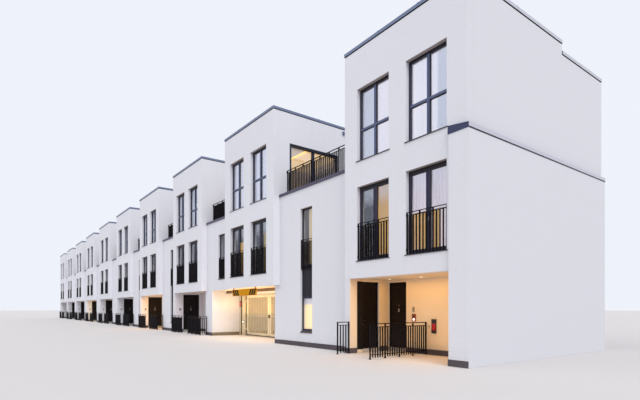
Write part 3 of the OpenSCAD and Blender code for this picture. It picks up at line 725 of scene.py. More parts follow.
def stair_windows():
    """The stair windows as (bay, bottom, panes from the bottom of the frame)."""
    rim, found = STAIR_RIM, []
    for j in BAYS:
        if j == PASSAGE:
            bottom = PASSAGE_WINDOW_Z + STAIR_SILL_RISE
            rows = [(bottom + rim, FRENCH_HEAD - rim)]
        else:
            bottom = STAIR_Z + STAIR_SILL_RISE
            rows = [(bottom + rim, STAIR_PANEL_LOW), (STAIR_PANEL_HIGH, FRENCH_HEAD - rim)]
        panes = [(rim, low - bottom, STAIR_W - 2 * rim, high - low) for low, high in rows]
        found.append((j, bottom, panes))
    return found


def bead_profile(inset):
    """A glazing bead on the glass, drawn as (inset, depth)."""
    front, glass = inset + 0.008, inset + FRAME_T
    return [(0, front), (0, glass), (0.006, glass), (0.006, glass - 0.003), (0.002, front)]


def sash_profile(inset, width):
    """A raised sash on the face of a frame."""
    face, round_off = inset - 0.004, 0.001
    return [(0, inset), (0, face + round_off), (round_off, face), (width - round_off, face),
            (width, face + round_off), (width, inset)]


def window_trim(name, windows):
    beads, sashes = Shape(), Shape()
    for wall, x, z, w, h, split, sash in windows:
        for px, pz, pw, ph in split_panes(w, h, *split):
            beads.ring(wall, x + px, z + pz, pw, ph, bead_profile(FRAME_INSET))
            if sash:
                sashes.ring(wall, x + px - sash, z + pz - sash, pw + 2 * sash, ph + 2 * sash,
                            sash_profile(FRAME_INSET, sash))
    beads.piece(name + "_glazing_beads", "sealant")
    sashes.piece(name + "_sashes", "frame")


def stair_window_trim():
    beads, panels, bars = Shape(), Shape(), Shape()
    edge, bar_w, bar_t, margin, panel_t = 0.004, 0.014, 0.006, 0.030, 0.003
    for j, bottom, panes in stair_windows():
        x = bay_left(j) + STAIR_X
        for px, pz, pw, ph in panes:
            beads.ring(BAY_FRONT, x + px, bottom + pz, pw, ph, bead_profile(STAIR_INSET))
        for bar_x in (x + edge, x + STAIR_W - edge - bar_w):
            bars.block(BAY_FRONT, bar_x, bottom, bar_w, FRENCH_HEAD - bottom,
                       STAIR_INSET - bar_t, bar_t)
        if j != PASSAGE:
            panels.block(BAY_FRONT, x + margin, STAIR_PANEL_LOW + margin, STAIR_W - 2 * margin,
                         STAIR_PANEL_HIGH - STAIR_PANEL_LOW - 2 * margin,
                         STAIR_INSET - panel_t, panel_t)
    beads.piece("stair_glazing_beads", "sealant")
    bars.piece("stair_frame_bars", "frame")
    panels.piece("stair_spandrel_panels", "spandrel", bevel=0.001)


def sash_faces():
    """Strips on the middle stiles and transoms of the top windows, in a lighter blue which is a
    painted reflection of the sky.
    """
    shape = Shape()
    front, thick, strip_w, strip_h, gap = FRAME_INSET - 0.006, 0.002, 0.018, 0.034, 0.004
    middle, half = WINDOW_W / 2, UPPER_MIDDLE / 2
    z = UPPER_Z + TRANSOM_Z + TRANSOM_H / 2 - strip_h / 2
    for x in WINDOWS_U:
        for start in (middle - gap - strip_w, middle + gap):
            shape.block(FRONT, x + start, UPPER_Z + UPPER_STILE, strip_w,
                        UPPER_H - 2 * UPPER_STILE, front, thick)
        for start in (UPPER_STILE, middle + half):
            shape.block(FRONT, x + start, z, middle - half - UPPER_STILE, strip_h, front, thick)
    shape.piece("window_sash_faces", "frame_sky_highlight")


def terrace_door_surrounds():
    """The broad outer frame of each terrace door, which fills the edge of its opening."""
    shape = Shape()
    broad, front, back, round_off = 0.050, 0.002, 0.060, 0.002
    profile = [(0, back), (0, front), (broad - round_off, front), (broad, front + round_off),
               (broad, back)]
    for wall, x, z, w, h, _, _ in front_windows():
        if wall is not FRONT:
            shape.ring(wall, x, z, w, h, profile)
    shape.piece("terrace_door_surrounds", "frame")


def window_handles():
    """A plate, a lever and its neck on each French window, as (w, low, h, out, thickness)."""
    shape = Shape()
    parts = ((0.014, -0.030, 0.060, 0.012, 0.004), (0.010, -0.055, 0.060, 0.026, 0.006),
             (0.008, -0.004, 0.008, 0.020, 0.009))
    beside, z = WINDOW_W / 2 + 0.018, FRENCH_Z + 0.50
    for x in WINDOWS_U:
        for w, low, h, out, thick in parts:
            shape.block(FRONT, x + beside - w / 2, z + low, w, h, FRAME_INSET - out, thick)
    shape.piece("french_window_handles", "fitting", bevel=0.001)


def rear_sills():
    shape = Shape()
    over, out, t, lining = 0.015, 0.008, 0.012, 0.002
    for wall, x, z, w, h, _, _ in rear_windows():
        shape.block(wall, x - over, z + lining - t, w + 2 * over, t, -out, out)
        shape.block(wall, x, z, w, lining, 0.0, FRAME_INSET)
    shape.piece("rear_window_sills", "sill")


# Walls and roofs
def drip_beads():
    """Thin beads where the render stops over an opening."""
    shape = Shape()
    h, out, back = 0.004, 0.002, 0.004
    runs = [(block_left(i), block_right(i), 0.0) for i in range(BLOCKS)]
    for left, right, v in runs + [(PASSAGE_LEFT, bay_right(PASSAGE), SETBACK)]:
        shape.box((left, v - out, PORCH_HEAD - h), (right, v + back, PORCH_HEAD))
    shape.piece("render_stop_beads", "render")


def head_soffits():
    """Thin sheets under the heads of the front windows and of the stair windows, in a darker,
    warmer copy of the render: painted shade with warm bounced light.
    """
    shape = Shape()
    t, front = 0.003, 0.001
    for wall, x, z, w, h, _, _ in front_windows():
        if wall is FRONT:
            shape.block(wall, x, z + h - t, w, t, front, FRAME_INSET - 0.006)
    for j in BAYS:
        shape.block(BAY_FRONT, bay_left(j) + STAIR_X, FRENCH_HEAD - t, STAIR_W, t, front,
                    STAIR_INSET - 0.004)
    shape.piece("window_head_soffit_shade", "soffit")


def coping_joints():
    """Cover straps over the joints of the copings."""
    shape = Shape()
    proud, strap, drop, spacing = 0.0025, 0.030, 0.004, 1.5

    def strap_at(u_low, u_high, v_low, v_high, top):
        shape.box((u_low, v_low, top - COPING_H + SHADOW_H + drop), (u_high, v_high, top + proud))

    block_top, rear_top = PARAPET_TOP + COPING_H, REAR_TOP + COPING_H
    reach = COPING_OVER + proud
    for i in range(BLOCKS):
        for share in (1 / 3, 2 / 3):
            u = block_left(i) + share * BLOCK_W - strap / 2
            for v in (0.0, FRONT_PART_D):
                strap_at(u, u + strap, v - reach, v + WALL_T + reach, block_top)
        for u in (block_left(i), block_right(i) - WALL_T):
            v = FRONT_PART_D / 2
            strap_at(u - reach, u + WALL_T + reach, v, v + strap, block_top)
    count = round(ROW_LEN / spacing)
    for k in range(1, count):
        u = k * ROW_LEN / count
        strap_at(u, u + strap, DEPTH - WALL_T - reach, DEPTH + COPING_OVER, rear_top)
    shape.piece("coping_joint_straps", "coping")


def roofs():
    """Each roof inside its parapets, as (left, right, front, back, top)."""
    found = [(block_left(i) + WALL_T, block_right(i) - WALL_T, WALL_T, FRONT_PART_D,
              PARAPET_TOP - ROOF_DROP) for i in range(BLOCKS)]
    return found + [(WALL_T, ROW_LEN - WALL_T, FRONT_PART_D + WALL_T, DEPTH - WALL_T,
                     REAR_TOP - ROOF_DROP)]


def roof_seams():
    """Laps of the felt, from front to rear."""
    shape = Shape()
    seam, rise, pitch, clear = 0.035, 0.003, 0.5, 0.002
    for left, right, front, back, top in roofs():
        run = right - left - 2 * clear
        count = round(run / pitch)
        for k in range(1, count):
            u = left + clear + k * run / count
            shape.box((u, front + clear, top), (u + seam, back - clear, top + rise))
    shape.piece("roof_felt_laps", "roof")


def upstands():
    """Felt dressed up the inside of the parapets."""
    shape = Shape()
    rise, t = 0.110, 0.006
    for left, right, front, back, top in roofs():
        for low, high in (((left, front), (right, front + t)), ((left, back - t), (right, back)),
                          ((left, front + t), (left + t, back - t)),
                          ((right - t, front + t), (right, back - t))):
            shape.box((*low, top), (*high, top + rise))
    shape.piece("roof_upstands", "roof")


def terrace_pavers():
    shape = Shape()
    joint, thickness, size = 0.004, 0.004, 0.300
    front = BAY_BACK + 0.055
    for j in BAYS:
        width, run = bay_right(j) - bay_left(j), FRONT_PART_D - front
        columns, rows = round(width / size), round(run / size)
        step_u, step_v = width / columns, run / rows
        for a in range(columns):
            for b in range(rows):
                u, v = bay_left(j) + a * step_u, front + b * step_v
                shape.box((u + joint, v + joint, DECK_TOP),
                          (u + step_u - joint, v + step_v - joint, DECK_TOP + thickness))
    shape.piece("terrace_pavers", "paver")


def plinth_caps():
    """A thin bead along the top of the front plinths."""
    shape = Shape()
    out, h = PLINTH_T + 0.002, 0.004
    runs = [(bay_left(j), bay_right(j), SETBACK) for j in BAYS if j != PASSAGE]
    for i in PORCHES:
        left = block_left(i) - (0 if i == LAST else PLINTH_T)
        runs.append((left, porch_left(i) + PLINTH_T, 0.0))
    for left, right, v in runs:
        shape.box((left, v - out, PLINTH_H), (right, v, PLINTH_H + h))
    shape.piece("plinth_top_beads", "plinth")


def soffit_lamps():
    """Recessed lamps in the porch and passage soffits, each a steel rim round a lens."""
    rims, lenses = Shape(), Shape()
    v, rim, tube, lens, lens_h = 0.62, 0.030, 0.003, 0.028, 0.004
    rows = [(porch_left(i), porch_right(i), 3 if i == 0 else 2) for i in PORCHES]
    for left, right, count in rows + [(PASSAGE_LEFT, PASSAGE_RIGHT, 2)]:
        for k in range(count):
            u = left + (k + 0.5) * (right - left) / count
            rims.torus((u, v, PORCH_HEAD - TOUCH), (0, 0, 1), rim, tube)
            lenses.rod((u, v, PORCH_HEAD - lens_h), (u, v, PORCH_HEAD), lens, 20)
    rims.piece("soffit_lamp_rims", "fitting")
    lenses.piece("soffit_lamp_lenses", "lamp_white")


# Railings
def bar_places(w):
    """Each upright of a railing panel of width w, as (low, high, is a post)."""
    spans = max(1, round((w - POST_W) / (5 * BAR_PITCH)))
    span = (w - POST_W) / spans
    slots = max(2, round(span / BAR_PITCH))
    slot = (span - POST_W - (slots - 1) * BAR_W) / slots
    found = [(k * span, k * span + POST_W, True) for k in range(spans + 1)]
    for k in range(spans):
        for n in range(1, slots):
            low = POST_W + k * span + n * slot + (n - 1) * BAR_W
            found.append((low, low + BAR_W, False))
    return found


def railings():
    """Each railing as (face behind its rails, x, z, w, h, foot of its bars, their depth)."""
    terrace, entrance = front_at(TERRACE_RAILING_V + RAIL_T), front_at(RAIL_T - ENTRANCE_RAIL_V)
    rows = [(terrace, bay_left(j), DECK_TOP, bay_right(j) - bay_left(j), TERRACE_RAILING_H,
             TERRACE_RAIL_FOOT, TERRACE_BAR_DEPTH) for j in BAYS]
    for i in PORCHES[1:]:
        for x in (block_left(i), block_right(i) - ENTRANCE_RAIL_W):
            rows.append((entrance, x, 0.0, ENTRANCE_RAIL_W, RAILING_H, RAIL_FOOT, BAR_DEPTH))
    for u, reach, end in ((END_RAIL_U, END_RAIL_REACH, -PLINTH_T),
                          (LONG_RAIL_U, LONG_RAIL_REACH, PORCH_D - PLINTH_T)):
        wall = side_at(block_left(0) + u + RAIL_T, -reach, 1)
        rows.append((wall, 0.0, 0.0, reach + end, RAILING_H, RAIL_FOOT, BAR_DEPTH))
    return rows


def window_guards():
    """The railings across the windows, in rows of the same kind."""
    front, bay = front_at(JULIET_V + RAIL_T), front_at(SETBACK + JULIET_V + RAIL_T)
    rows = [(front, x, FRENCH_Z, WINDOW_W, JULIET_H, 0.0, BAR_DEPTH) for x in WINDOWS_U]
    top = FRENCH_Z + JULIET_H - 0.024
    for j in BAYS:
        z = PASSAGE_WINDOW_Z + STAIR_SILL_RISE if j == PASSAGE else FRENCH_Z
        rows.append((bay, bay_left(j) + STAIR_X, z, STAIR_W, top - z, 0.0, BAR_DEPTH))
    return rows


def bar_backs():
    """The rear part of the uprights, which are flat bars set on edge."""
    shape = Shape()
    for wall, x, z, w, h, foot, deep in railings() + window_guards():
        for start, end, post in bar_places(w):
            low, high = (0.0, h) if post else (foot, h - BAR_W - TOP_GAP)
            shape.block(wall, x + start, z + low, end - start, high - low, 0.0, deep - RAIL_T)
    shape.piece("railing_bar_backs", "railing")


def rail_caps():
    """Thin handrail caps, wall plates and foot plates."""
    caps, plates = Shape(), Shape()
    over, thick, half, plate_t = 0.003, 0.003, 0.016, 0.004
    for wall, x, z, w, h, _, _ in railings():
        caps.block(wall, x, z + h, w, thick, -RAIL_T - over, RAIL_T + 2 * over)
        foot_t = 0.006 if z else 0.005
        for start, end, post in bar_places(w):
            if post:
                plates.block(wall, x + (start + end) / 2 - half, z, 2 * half, foot_t,
                             -RAIL_T / 2 - half, 2 * half)
    v, top = TERRACE_RAILING_V, DECK_TOP + TERRACE_RAILING_H
    for j in BAYS:
        for u in (bay_left(j), bay_right(j) - plate_t):
            plates.box((u, v - 0.012, top - 0.058), (u + plate_t, v + RAIL_T + 0.012, top - 0.010))
    for i in PORCHES[1:]:
        plates.box((block_left(i) + 0.004, -plate_t, RAILING_H - 0.030),
                   (block_left(i) + 0.031, 0.0, RAILING_H + 0.006))
    plate_h, end, side = 0.030, 0.060, 0.008
    for x in WINDOWS_U:
        for u in (x, x + WINDOW_W - plate_t):
            for z in (FRENCH_Z + end, FRENCH_Z + JULIET_H - end):
                plates.box((u, JULIET_V - side, z),
                           (u + plate_t, JULIET_V + RAIL_T + side, z + plate_h))
    caps.piece("handrail_caps", "railing")
    plates.piece("railing_plates", "railing")


# Doors
def door_places():
    """The doors as (name, face of the leaf, width, whether the hinge is on the left)."""
    found = []
    for i in PORCHES[:-1]:
        v, w = END_SIDE_DOOR if i == 0 else SIDE_DOOR
        wall = side_at(block_left(i) + LEAF_INSET + LEAF_T, v, -1)
        found.append(("side_door_" + LETTERS[i], wall, w, False))
    for i in (0, LAST):
        wall = Wall((porch_left(i), PORCH_D + LEAF_INSET), (1, 0), (0, 1))
        found.append(("front_door_" + LETTERS[i], wall, BACK_DOOR_W, True))
    return found


def dress_door(name, wall, w, hinge_left):
    """Boards, knocker, lever handles and a lock on one leaf, which all ride on it."""
    low, high = LEAF_EDGE, w - LEAF_EDGE
    boards, fittings = Shape(), Shape()
    proud, joint, margin, board_w, backset = 0.003, 0.003, 0.002, 0.085, 0.035
    count = max(3, round((high - low) / board_w))
    step = (high - low) / count
    for k in range(count):
        boards.block(wall, low + k * step + joint / 2, LEAF_LOW + margin, step - joint,
                     LEAF_HIGH - LEAF_LOW - 2 * margin, -proud, proud)
    boards.piece(name + "_boards", "door", body=name, bevel=0.0008)
    x, lever_l = (high - backset, -0.050) if hinge_left else (low + backset, 0.050)
    for face, out in ((-proud, -1), (LEAF_T, 1)):
        fittings.stud(wall, x, LEVER_Z, face, out * 0.005, 0.012, 16)
        fittings.stud(wall, x, LEVER_Z, face, out * 0.024, 0.004, 12)
        fittings.stud(wall, x, LOCK_Z, face, out * 0.004, 0.009, 16)
        grip = face + out * 0.022
        fittings.rod(wall.at(x, LEVER_Z, grip), wall.at(x + lever_l, LEVER_Z, grip), 0.0035)
    fittings.piece(name + "_fittings", "door_steel", body=name)
    if name != "side_door_a":
        middle = w / 2
        knocker = Shape().block(wall, middle - 0.012, 0.715, 0.024, 0.062, -0.008, 0.005)
        knocker.torus(wall.at(middle, 0.730, -0.012), (*wall.inward, 0), 0.014, 0.004, 20)
        knocker.stud(wall, middle, 0.830, -proud, -0.004, 0.010, 16)
        knocker.piece(name + "_knocker", "fitting", body=name, bevel=0.0006)


def dress_doors():
    thresholds = Shape()
    edge, h, front, deep = 0.020, 0.004, -0.020, 0.065
    for name, wall, w, hinge_left in door_places():
        dress_door(name, wall, w, hinge_left)
        thresholds.block(wall, edge, GROUND_TOP, w - 2 * edge, h, front, deep)
    thresholds.piece("door_thresholds", "fitting")


# Fittings on the walls
def porch_fittings():
    """Number, bell plate, bell push and meter box on the right-hand porch's back wall."""
    wall = front_at(PORCH_D)
    plate_x, push_x, box_x = 38.005, 38.384, 38.441
    plate_t, box_t, rim, rim_t, pane_t = 0.008, 0.014, 0.006, 0.004, 0.0025
    number = Shape()
    for z, radius in ((0.741, 0.0200), (0.7825, 0.0170)):
        number.torus(wall.at(plate_x + 0.035, z, -0.003), (0, 1, 0), radius, 0.0045, 28)
    number.piece("house_number", "number")
    plate = Shape().block(wall, plate_x, 0.552, 0.090, 0.128, -plate_t, plate_t)
    plate.piece("bell_plate", "bell_plate", bevel=0.0015)
    button = Shape().stud(wall, plate_x + 0.047, 0.586, -plate_t, -0.005, 0.018)
    button.piece("bell_button", "lamp_white")
    eye = Shape().block(wall, plate_x + 0.029, 0.628, 0.034, 0.034, -plate_t, -0.003)
    eye.piece("bell_eye", "number", bevel=0.001)
    Shape().stud(wall, push_x, 0.476, 0.0, -0.010, 0.010).piece("bell_push", "number")
    place = (wall, box_x, 0.362, 0.093, 0.235)
    box = Shape().block(*place, -box_t, box_t)
    box.ring(*place, [(0, -box_t), (0, -box_t - rim_t), (rim, -box_t - rim_t), (rim, -box_t)])
    box.piece("meter_box", "meter_box", bevel=0.001)
    pane = Shape().block(wall, box_x + 0.008, 0.415, 0.077, 0.108, -box_t, -pane_t)
    pane.piece("meter_box_pane", "meter_pane")


def number_plates():
    """Blank plates on the porch side walls of the other houses."""
    shape = Shape()
    for i in PORCHES[1:-1]:
        shape.block(side_at(porch_left(i), 0, -1), 0.160, 0.715, 0.060, 0.070, -0.005, 0.005)
    shape.piece("blank_number_plates", "blank_plate", bevel=0.001)


def overflow_box():
    """A small box with a spout high on the block over the passage."""
    wall = side_at(block_right(PASSAGE), 0, -1)
    x, w, out, spout_out = 1.950, 0.075, 0.045, 0.022
    shape = Shape().block(wall, x, 5.035, w, 0.060, -out, out)
    shape.rod(wall.at(x + w / 2, 5.045, -spout_out), wall.at(x + w / 2, 5.000, -spout_out), 0.012)
    shape.piece("roof_overflow_box", "coping", bevel=0.002)


# Passage
def node_box(name):
    """A node's box as (left, right, front, bottom, top) in u, v and z."""
    (left, front, bottom), (right, _, top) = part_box(name)
    return left + SHIFT_U, right + SHIFT_U, front + SHIFT_V, bottom, top


def board_stripes():
    """Three slanted black stripes at each end of the headroom board, mirrored, and its rim."""
    shape = Shape()
    left, right, front, bottom, _ = node_box("headroom_sign")
    face = front_at(front)
    stripe, pitch, lean, edge, proud = 0.074, 0.107, 0.080, 0.006, 0.0015
    low, high = bottom + edge, bottom + BOARD_H - edge
    for k in range(3):
        for start, side in ((left + edge, 1), (right - edge, -1)):
            foot = start + side * (k * pitch + lean)
            shape.prism([face.at(foot, low), face.at(foot + side * stripe, low),
                         face.at(foot + side * (stripe - lean), high),
                         face.at(foot - side * lean, high)], (0, -proud, 0))
    shape.piece("board_stripes", "stripe")
    rim, rim_w, rim_t = Shape(), 0.004, -0.003
    rim.ring(face, left, bottom, right - left, BOARD_H,
             [(0, 0), (0, rim_t), (rim_w, rim_t), (rim_w, 0)])
    rim.piece("board_rim", "sign")


def gate_leaf_trim():
    """Rim, middle rail, shoe and lock of each leaf."""
    face = front_at(GATE_V - GATE_T / 2)
    edge, broad, front, back = 0.006, 0.080, -0.003, 0.027
    for name in ("gate_leaf_left", "gate_leaf_right"):
        left, right, _, bottom, top = node_box(name)
        width = right - left
        rail_w = width - 2 * GATE_RIM
        rail = Shape().block(face, left + GATE_RIM, 0.560, rail_w, 0.016, 0.007, 0.010)
        rail.ring(face, left, bottom, width, top - bottom,
                  [(edge, back), (edge, front), (broad, front), (broad, back)])
        rail.piece(name + "_rails", "gate", body=name)
        foot = Shape().block(face, left + 0.003, bottom, width - 0.006, 0.016, -0.004, 0.004)
        lock_x = right - 0.040 if name.endswith("left") else left + 0.005
        foot.block(face, lock_x, 0.520, 0.035, 0.090, -0.010, 0.007)
        foot.piece(name + "_shoe_and_lock", "railing", body=name, bevel=0.001)


def gate_sides():
    """Guards in the gaps beside the leaves, and screens from the posts to the walls."""
    guards, screens = Shape(), Shape()
    leaf_left, leaf_right = node_box("gate_leaf_left")[0], node_box("gate_leaf_right")[1]
    left, right, _, _, top = node_box("gate_posts")
    post_w = leaf_left - HINGE_ROOM - left
    clear, half, screen_half = 0.012, 0.010, 0.012
    guards.box((left - GATE_STRIP_W, GATE_V - half, 0.0), (left, GATE_V + half, top))
    for low_u, high_u in ((left + post_w, leaf_left - clear), (leaf_right + clear, right - post_w)):
        guards.box((low_u, GATE_V + GATE_T / 2 + 0.002, 0.010),
                   (high_u, GATE_V + GATE_POST_D / 2, top - 0.010))
    guards.piece("gate_gap_guards", "railing")
    for low_u, high_u in ((PASSAGE_LEFT + PLINTH_T, left - GATE_STRIP_W),
                          (right, PASSAGE_RIGHT - PLINTH_T)):
        screens.box((low_u, GATE_V - screen_half, 0.0), (high_u, GATE_V + screen_half, top))
    screens.piece("gate_side_screens", "gate")


def gate_lamps():
    """A lamp on the left-hand post, and a red signal on the strip beside it."""
    left = node_box("gate_posts")[0]
    post = front_at(GATE_V - GATE_POST_D / 2)
    strip = front_at(GATE_V - 0.010)
    x, strip_x = left + 0.067, left - GATE_STRIP_W / 2
    lens_t, lamp_t, signal_t = 0.008, 0.012, 0.050
    lens = Shape().stud(post, x + 0.030, 0.390, -lamp_t, -lens_t, 0.022)
    lens.piece("gate_post_lamp", "lamp_white")
    cases = Shape().block(post, x, 0.350, 0.060, 0.080, -lamp_t, lamp_t)
    cases.block(strip, strip_x - 0.040, 0.840, 0.080, 0.145, -signal_t, signal_t)
    cases.piece("signal_and_lamp_cases", "number", bevel=0.002)
    signal = Shape().stud(strip, strip_x, 0.906, -signal_t, -lens_t, 0.034, 24)
    signal.piece("signal_lens", "lamp_red")


# Rooms
def curtain(name, look, place, size, v, folds, fullness=1.6):
    """A hung curtain with soft folds. Its flat width is the length of its folded line."""
    (u, z), (width, height) = place, size
    across, down = folds * 10, 8
    deep = width / folds * 0.5 * math.sqrt(fullness - 1.0)
    line = []
    for a in range(across + 1):
        share = a / across
        swing = math.sin(2 * math.pi * folds * share) * deep * (0.8 + 0.2 * math.sin(7 * share))
        line.append((u + share * width, v + swing))
    points = [(pu - SHIFT_U, pv - SHIFT_V, z + height * b / down)
              for b in range(down + 1) for pu, pv in line]
    corners = [b * (across + 1) + a for b in range(down) for a in range(across)]
    faces = [[k, k + 1, k + across + 2, k + across + 1] for k in corners]
    mesh = bpy.data.meshes.new(name)
    mesh.from_pydata(points, [], faces)
    for face in mesh.polygons:
        face.use_smooth = True
    piece = add_piece(name, mesh, look)


def curtains():
    """Curtains behind the front windows of the two right-hand blocks, and of the stair window.

    A row of looks gives, for one window, its cloths as (look, start, end, top), with start and
    end in shares of its width. A top of 0 is a full-length cloth, and others hang nearer the glass.
    """
    french, upper = FRENCH_HEAD, UPPER_HEAD
    sheers = [("curtain", -0.40, 0.16, 0), ("curtain", 0.20, 0.90, 0)]
    looks = [
        (0, 0, french, [("drape_dark", -0.18, 0.33, 0), ("drape", 0.34, 0.94, 0)]),
        (0, 1, french, [("curtain", -0.20, 1.00, 0), ("drape", -0.06, 0.32, 2.215),
                        ("drape", 0.50, 0.62, 2.215)]),
        (0, 0, upper, [("curtain_bright", 0.33, 0.94, 0)]),
        (0, 1, upper, [("curtain_bright", -0.20, 0.36, 0), ("curtain_bright", 0.40, 0.54, 0)]),
        (PASSAGE, 0, french, [("drape_dark", -0.40, 0.22, 0), ("drape", 0.27, 0.58, 2.46)]),
        (PASSAGE, 1, french, [("drape_dark", -0.40, 0.10, 0), ("drape_olive", 0.42, 0.62, 2.55)]),
        (PASSAGE, 0, upper, sheers),
        (PASSAGE, 1, upper, sheers),
    ]
    far, close = SETBACK + 0.080, SETBACK + 0.028
    rail_rise, clear, fold_w = 0.050, 0.010, 0.058
    rails = Shape()

    def rail(left, right, v, z):
        rails.rod((left, v, z), (right, v, z), 0.006)
        for end in (left + 0.01, right - 0.01):
            rails.rod((end, SETBACK, z), (end, v, z), 0.005)

    for i, n, head, cloths in looks:
        u = window_left(i, n)
        storey, low = ("first", FIRST_TOP) if head == french else ("second", SECOND_TOP)
        low += clear
        places = {top or head + rail_rise: (close if top else far) for _, _, _, top in cloths}
        for top, v in places.items():
            rail(u - 0.32, u + WINDOW_W + 0.06, v, top)
        for count, (look, start, end, top) in enumerate(cloths):
            name = "curtain_%s_%s_%d_%d" % (LETTERS[i], storey, n + 1, count + 1)
            width, hung = (end - start) * WINDOW_W, top or head + rail_rise
            curtain(name, look, (u + start * WINDOW_W, low), (width, hung - 0.006 - low),
                    places[hung], max(2, round(width / fold_w)))
    u, v, top = bay_left(0) + STAIR_X, SETBACK + 0.100, FRENCH_HEAD - 0.020
    rails.rod((u, v, top), (u + STAIR_W, v, top), 0.005)
    rails.piece("curtain_rails", "fitting")
    low = STAIR_PANEL_HIGH + 0.030
    curtain("curtain_stair", "drape_stair", (u + 0.42 * STAIR_W, low),
            (0.54 * STAIR_W, top - 0.005 - low), v, 6, fullness=1.15)


def room_lamps():
    """What is lit behind the glass: ceiling lamps, a blind in the stair window that glows as
    painted light from a lit room, a cornice light, and a strip of ceiling beside it that glows as
    painted lamplight.
    """
    lamps = Shape()
    spots = [(block_left(0) + 1.55, 0.9, SECOND_UNDER),
             (block_right(PASSAGE) - 0.70, 1.1, ROOF_UNDER)]
    spots += [(bay_left(j) + STAIR_X + 0.2, 0.65, PORCH_HEAD) for j in (2, 3, 5)]
    for u, v, ceiling in spots:
        lamps.rod((u, v, ceiling - 0.018), (u, v, ceiling), 0.085, 32)
    lamps.piece("ceiling_lamps", "ceiling_lamp")
    left, width = bay_left(0) + STAIR_X - 0.140, STAIR_W + 0.160
    depth, t = BAY_WALL_T + 0.004, 0.003
    # The blind glows as painted light from a lit room.
    for name, look, z, h in (("blind", "lit_room", 0.02, 0.56), ("pelmet", "curtain", 0.58, 0.16)):
        cloth = Shape().block(BAY_FRONT, left, STAIR_Z + z, width, h, depth, t)
        cloth.piece("stair_window_" + name, look)
    left, right = block_left(PASSAGE) + WALL_T, block_right(PASSAGE) - WALL_T
    # The ceiling strip beside the cornice light glows as painted lamplight.
    for name, look, front, back, t in (("light", "cornice_lamp", 1.430, 1.460, 0.030),
                                       ("ceiling", "cornice_painted_glow", 1.460, FRONT_PART_D, 0.006)):
        cornice = Shape().box((left, front, ROOF_UNDER - t), (right, back, ROOF_UNDER))
        cornice.piece("cornice_" + name, look)


# Stage
def make_camera():
    data = bpy.data.cameras.new("photo_camera")
    data.sensor_width = 36.0
    data.lens = 25.09
    data.shift_y = 0.170
    data.clip_end = 500.0
    camera = add_object("photo_camera", data)
    camera.location = (23.366, -6.920, 0.770)
    camera.rotation_euler = (math.radians(90), 0, math.radians(53.17))
    bpy.context.scene.camera = camera


def make_floor():
    size, z = 200.0, -0.001
    corners = [(-size, -size, z), (size, -size, z), (size, size, z), (-size, size, z)]
    mesh = bpy.data.meshes.new("stage_floor")
    mesh.from_pydata(corners, [], [[0, 1, 2, 3]])
    mesh.materials.append(Paint("stage_floor", (0.66, 0.63, 0.62), 0.9).material)
    add_object("stage_floor", mesh)


def make_world():
    """Soft sky light, with a plain pale backdrop for the camera, for gloss and through glass."""
    world = bpy.data.worlds.new("studio")
    bpy.context.scene.world = world
    world.use_nodes = True
    sky = Nodes(world.node_tree)
    lighting = sky.tree.nodes["Background"]
    sky.feed(lighting.inputs["Color"], (0.90, 0.93, 1.0, 1))
    sky.feed(lighting.inputs["Strength"], 0.77)
    shown = sky.node("Background", "Background", {"Color": (0.86, 0.89, 0.96, 1), "Strength": 1.0})
    path = sky.tree.nodes.new("ShaderNodeLightPath").outputs
    seen = path["Is Camera Ray"]
    for name in ("Is Glossy Ray", "Is Transmission Ray"):
        seen = sky.math("MAXIMUM", seen, path[name])
    inputs = {"Fac": seen, 1: lighting.outputs["Background"], 2: shown}
    sky.feed(sky.tree.nodes["World Output"].inputs["Surface"],
             sky.node("MixShader", "Shader", inputs))


def make_light(name, kind, energy, location, turn):
    data = bpy.data.lights.new(name, kind)
    data.energy = energy
    light = add_object(name, data)
    light.location = location
    light.rotation_euler = [math.radians(a) for a in turn]
    return light


def make_suns():
    for name, strength, angle, turn in (("key", 1.60, 35.0, (47, 0, 70)),
                                        ("fill", 0.45, 60.0, (60, 0, -42))):
        light = make_light(name, "SUN", strength, (0, 0, 0), turn)
        light.data.angle = math.radians(angle)
        light.visible_glossy = name == "key"


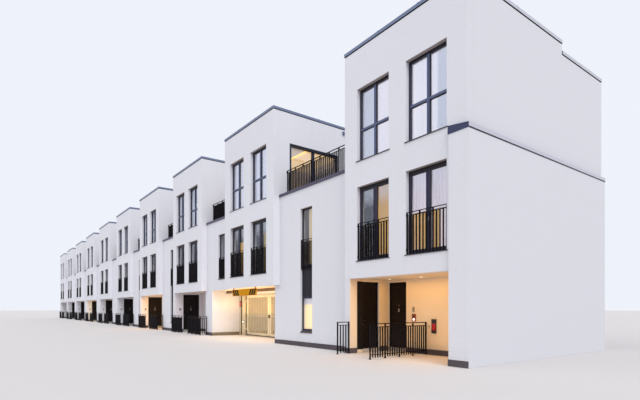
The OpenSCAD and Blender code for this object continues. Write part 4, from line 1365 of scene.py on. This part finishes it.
def make_warm_lamps():
    """Soft warm light under the soffits and in the rooms that are lit in the photo.

    A row is (u, v, z, length, width, watts, colour, points up).
    """
    amber, cream, pale = (1.0, 0.50, 0.07), (1.0, 0.78, 0.50), (1.0, 0.84, 0.62)
    pink, gold, orange = (1.0, 0.55, 0.42), (1.0, 0.64, 0.16), (1.0, 0.58, 0.18)
    porches = {0: (12.0, amber), 2: (2.5, pink), 3: (18.0, amber), 5: (1.0, cream), 6: (9.0, gold)}
    rows = []
    for i, (watts, colour) in porches.items():
        middle = (porch_left(i) + porch_right(i)) / 2
        for z, share, up in ((PORCH_HEAD - 0.01, 0.70, False), (0.10, 0.32, True)):
            rows.append((middle, PORCH_D / 2, z, 1.8, 0.6, watts * share, colour, up))
    middle = (block_left(PASSAGE) + block_right(PASSAGE)) / 2
    rows += [
        (PASSAGE_MIDDLE, 0.60, PORCH_HEAD - 0.09, 2.8, 0.5, 12.5, pale, False),
        (PASSAGE_MIDDLE, 0.62, 0.60, 2.8, 0.7, 19.5, orange, True),
        (PASSAGE_MIDDLE, 0.60, 0.05, 3.0, 0.6, 6.5, pale, True),
        (PASSAGE_MIDDLE, 2.6, PORCH_HEAD - 0.02, 2.8, 2.4, 4.0, cream, False),
        (middle, 0.9, ROOF_UNDER - 0.25, 1.6, 0.8, 9.0, cream, False),
        (middle, 1.2, SECOND_TOP + 0.10, 1.6, 1.6, 8.0, cream, True),
        (block_left(0) + 1.3, 1.2, SECOND_UNDER - 0.05, 1.8, 1.4, 3.0, amber, False),
    ]
    for k, (u, v, z, length, width, watts, colour, up) in enumerate(rows):
        light = make_light("warm_lamp_%02d" % k, "AREA", watts, (u - SHIFT_U, v - SHIFT_V, z),
                           (180 if up else 0, 0, 0))
        light.data.shape = "RECTANGLE"
        light.data.size, light.data.size_y = length, width
        light.data.color = colour
        light.visible_camera = False
        light.visible_glossy = False
        light.visible_transmission = False


def main():
    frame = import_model()
    for make in (make_camera, make_floor, make_world, make_suns, make_warm_lamps, make_looks):
        make()
    dress_frame(frame)
    window_trim("front", front_windows())
    window_trim("rear", rear_windows())
    for dress in (stair_window_trim, sash_faces, terrace_door_surrounds, window_handles, rear_sills,
                  drip_beads, head_soffits, coping_joints, roof_seams, upstands, terrace_pavers,
                  plinth_caps, soffit_lamps, rail_caps, bar_backs, dress_doors, porch_fittings,
                  number_plates, overflow_box, board_stripes, gate_leaf_trim, gate_sides,
                  gate_lamps, curtains, room_lamps):
        dress()
    bpy.context.scene.view_settings.view_transform = "Standard"


main()
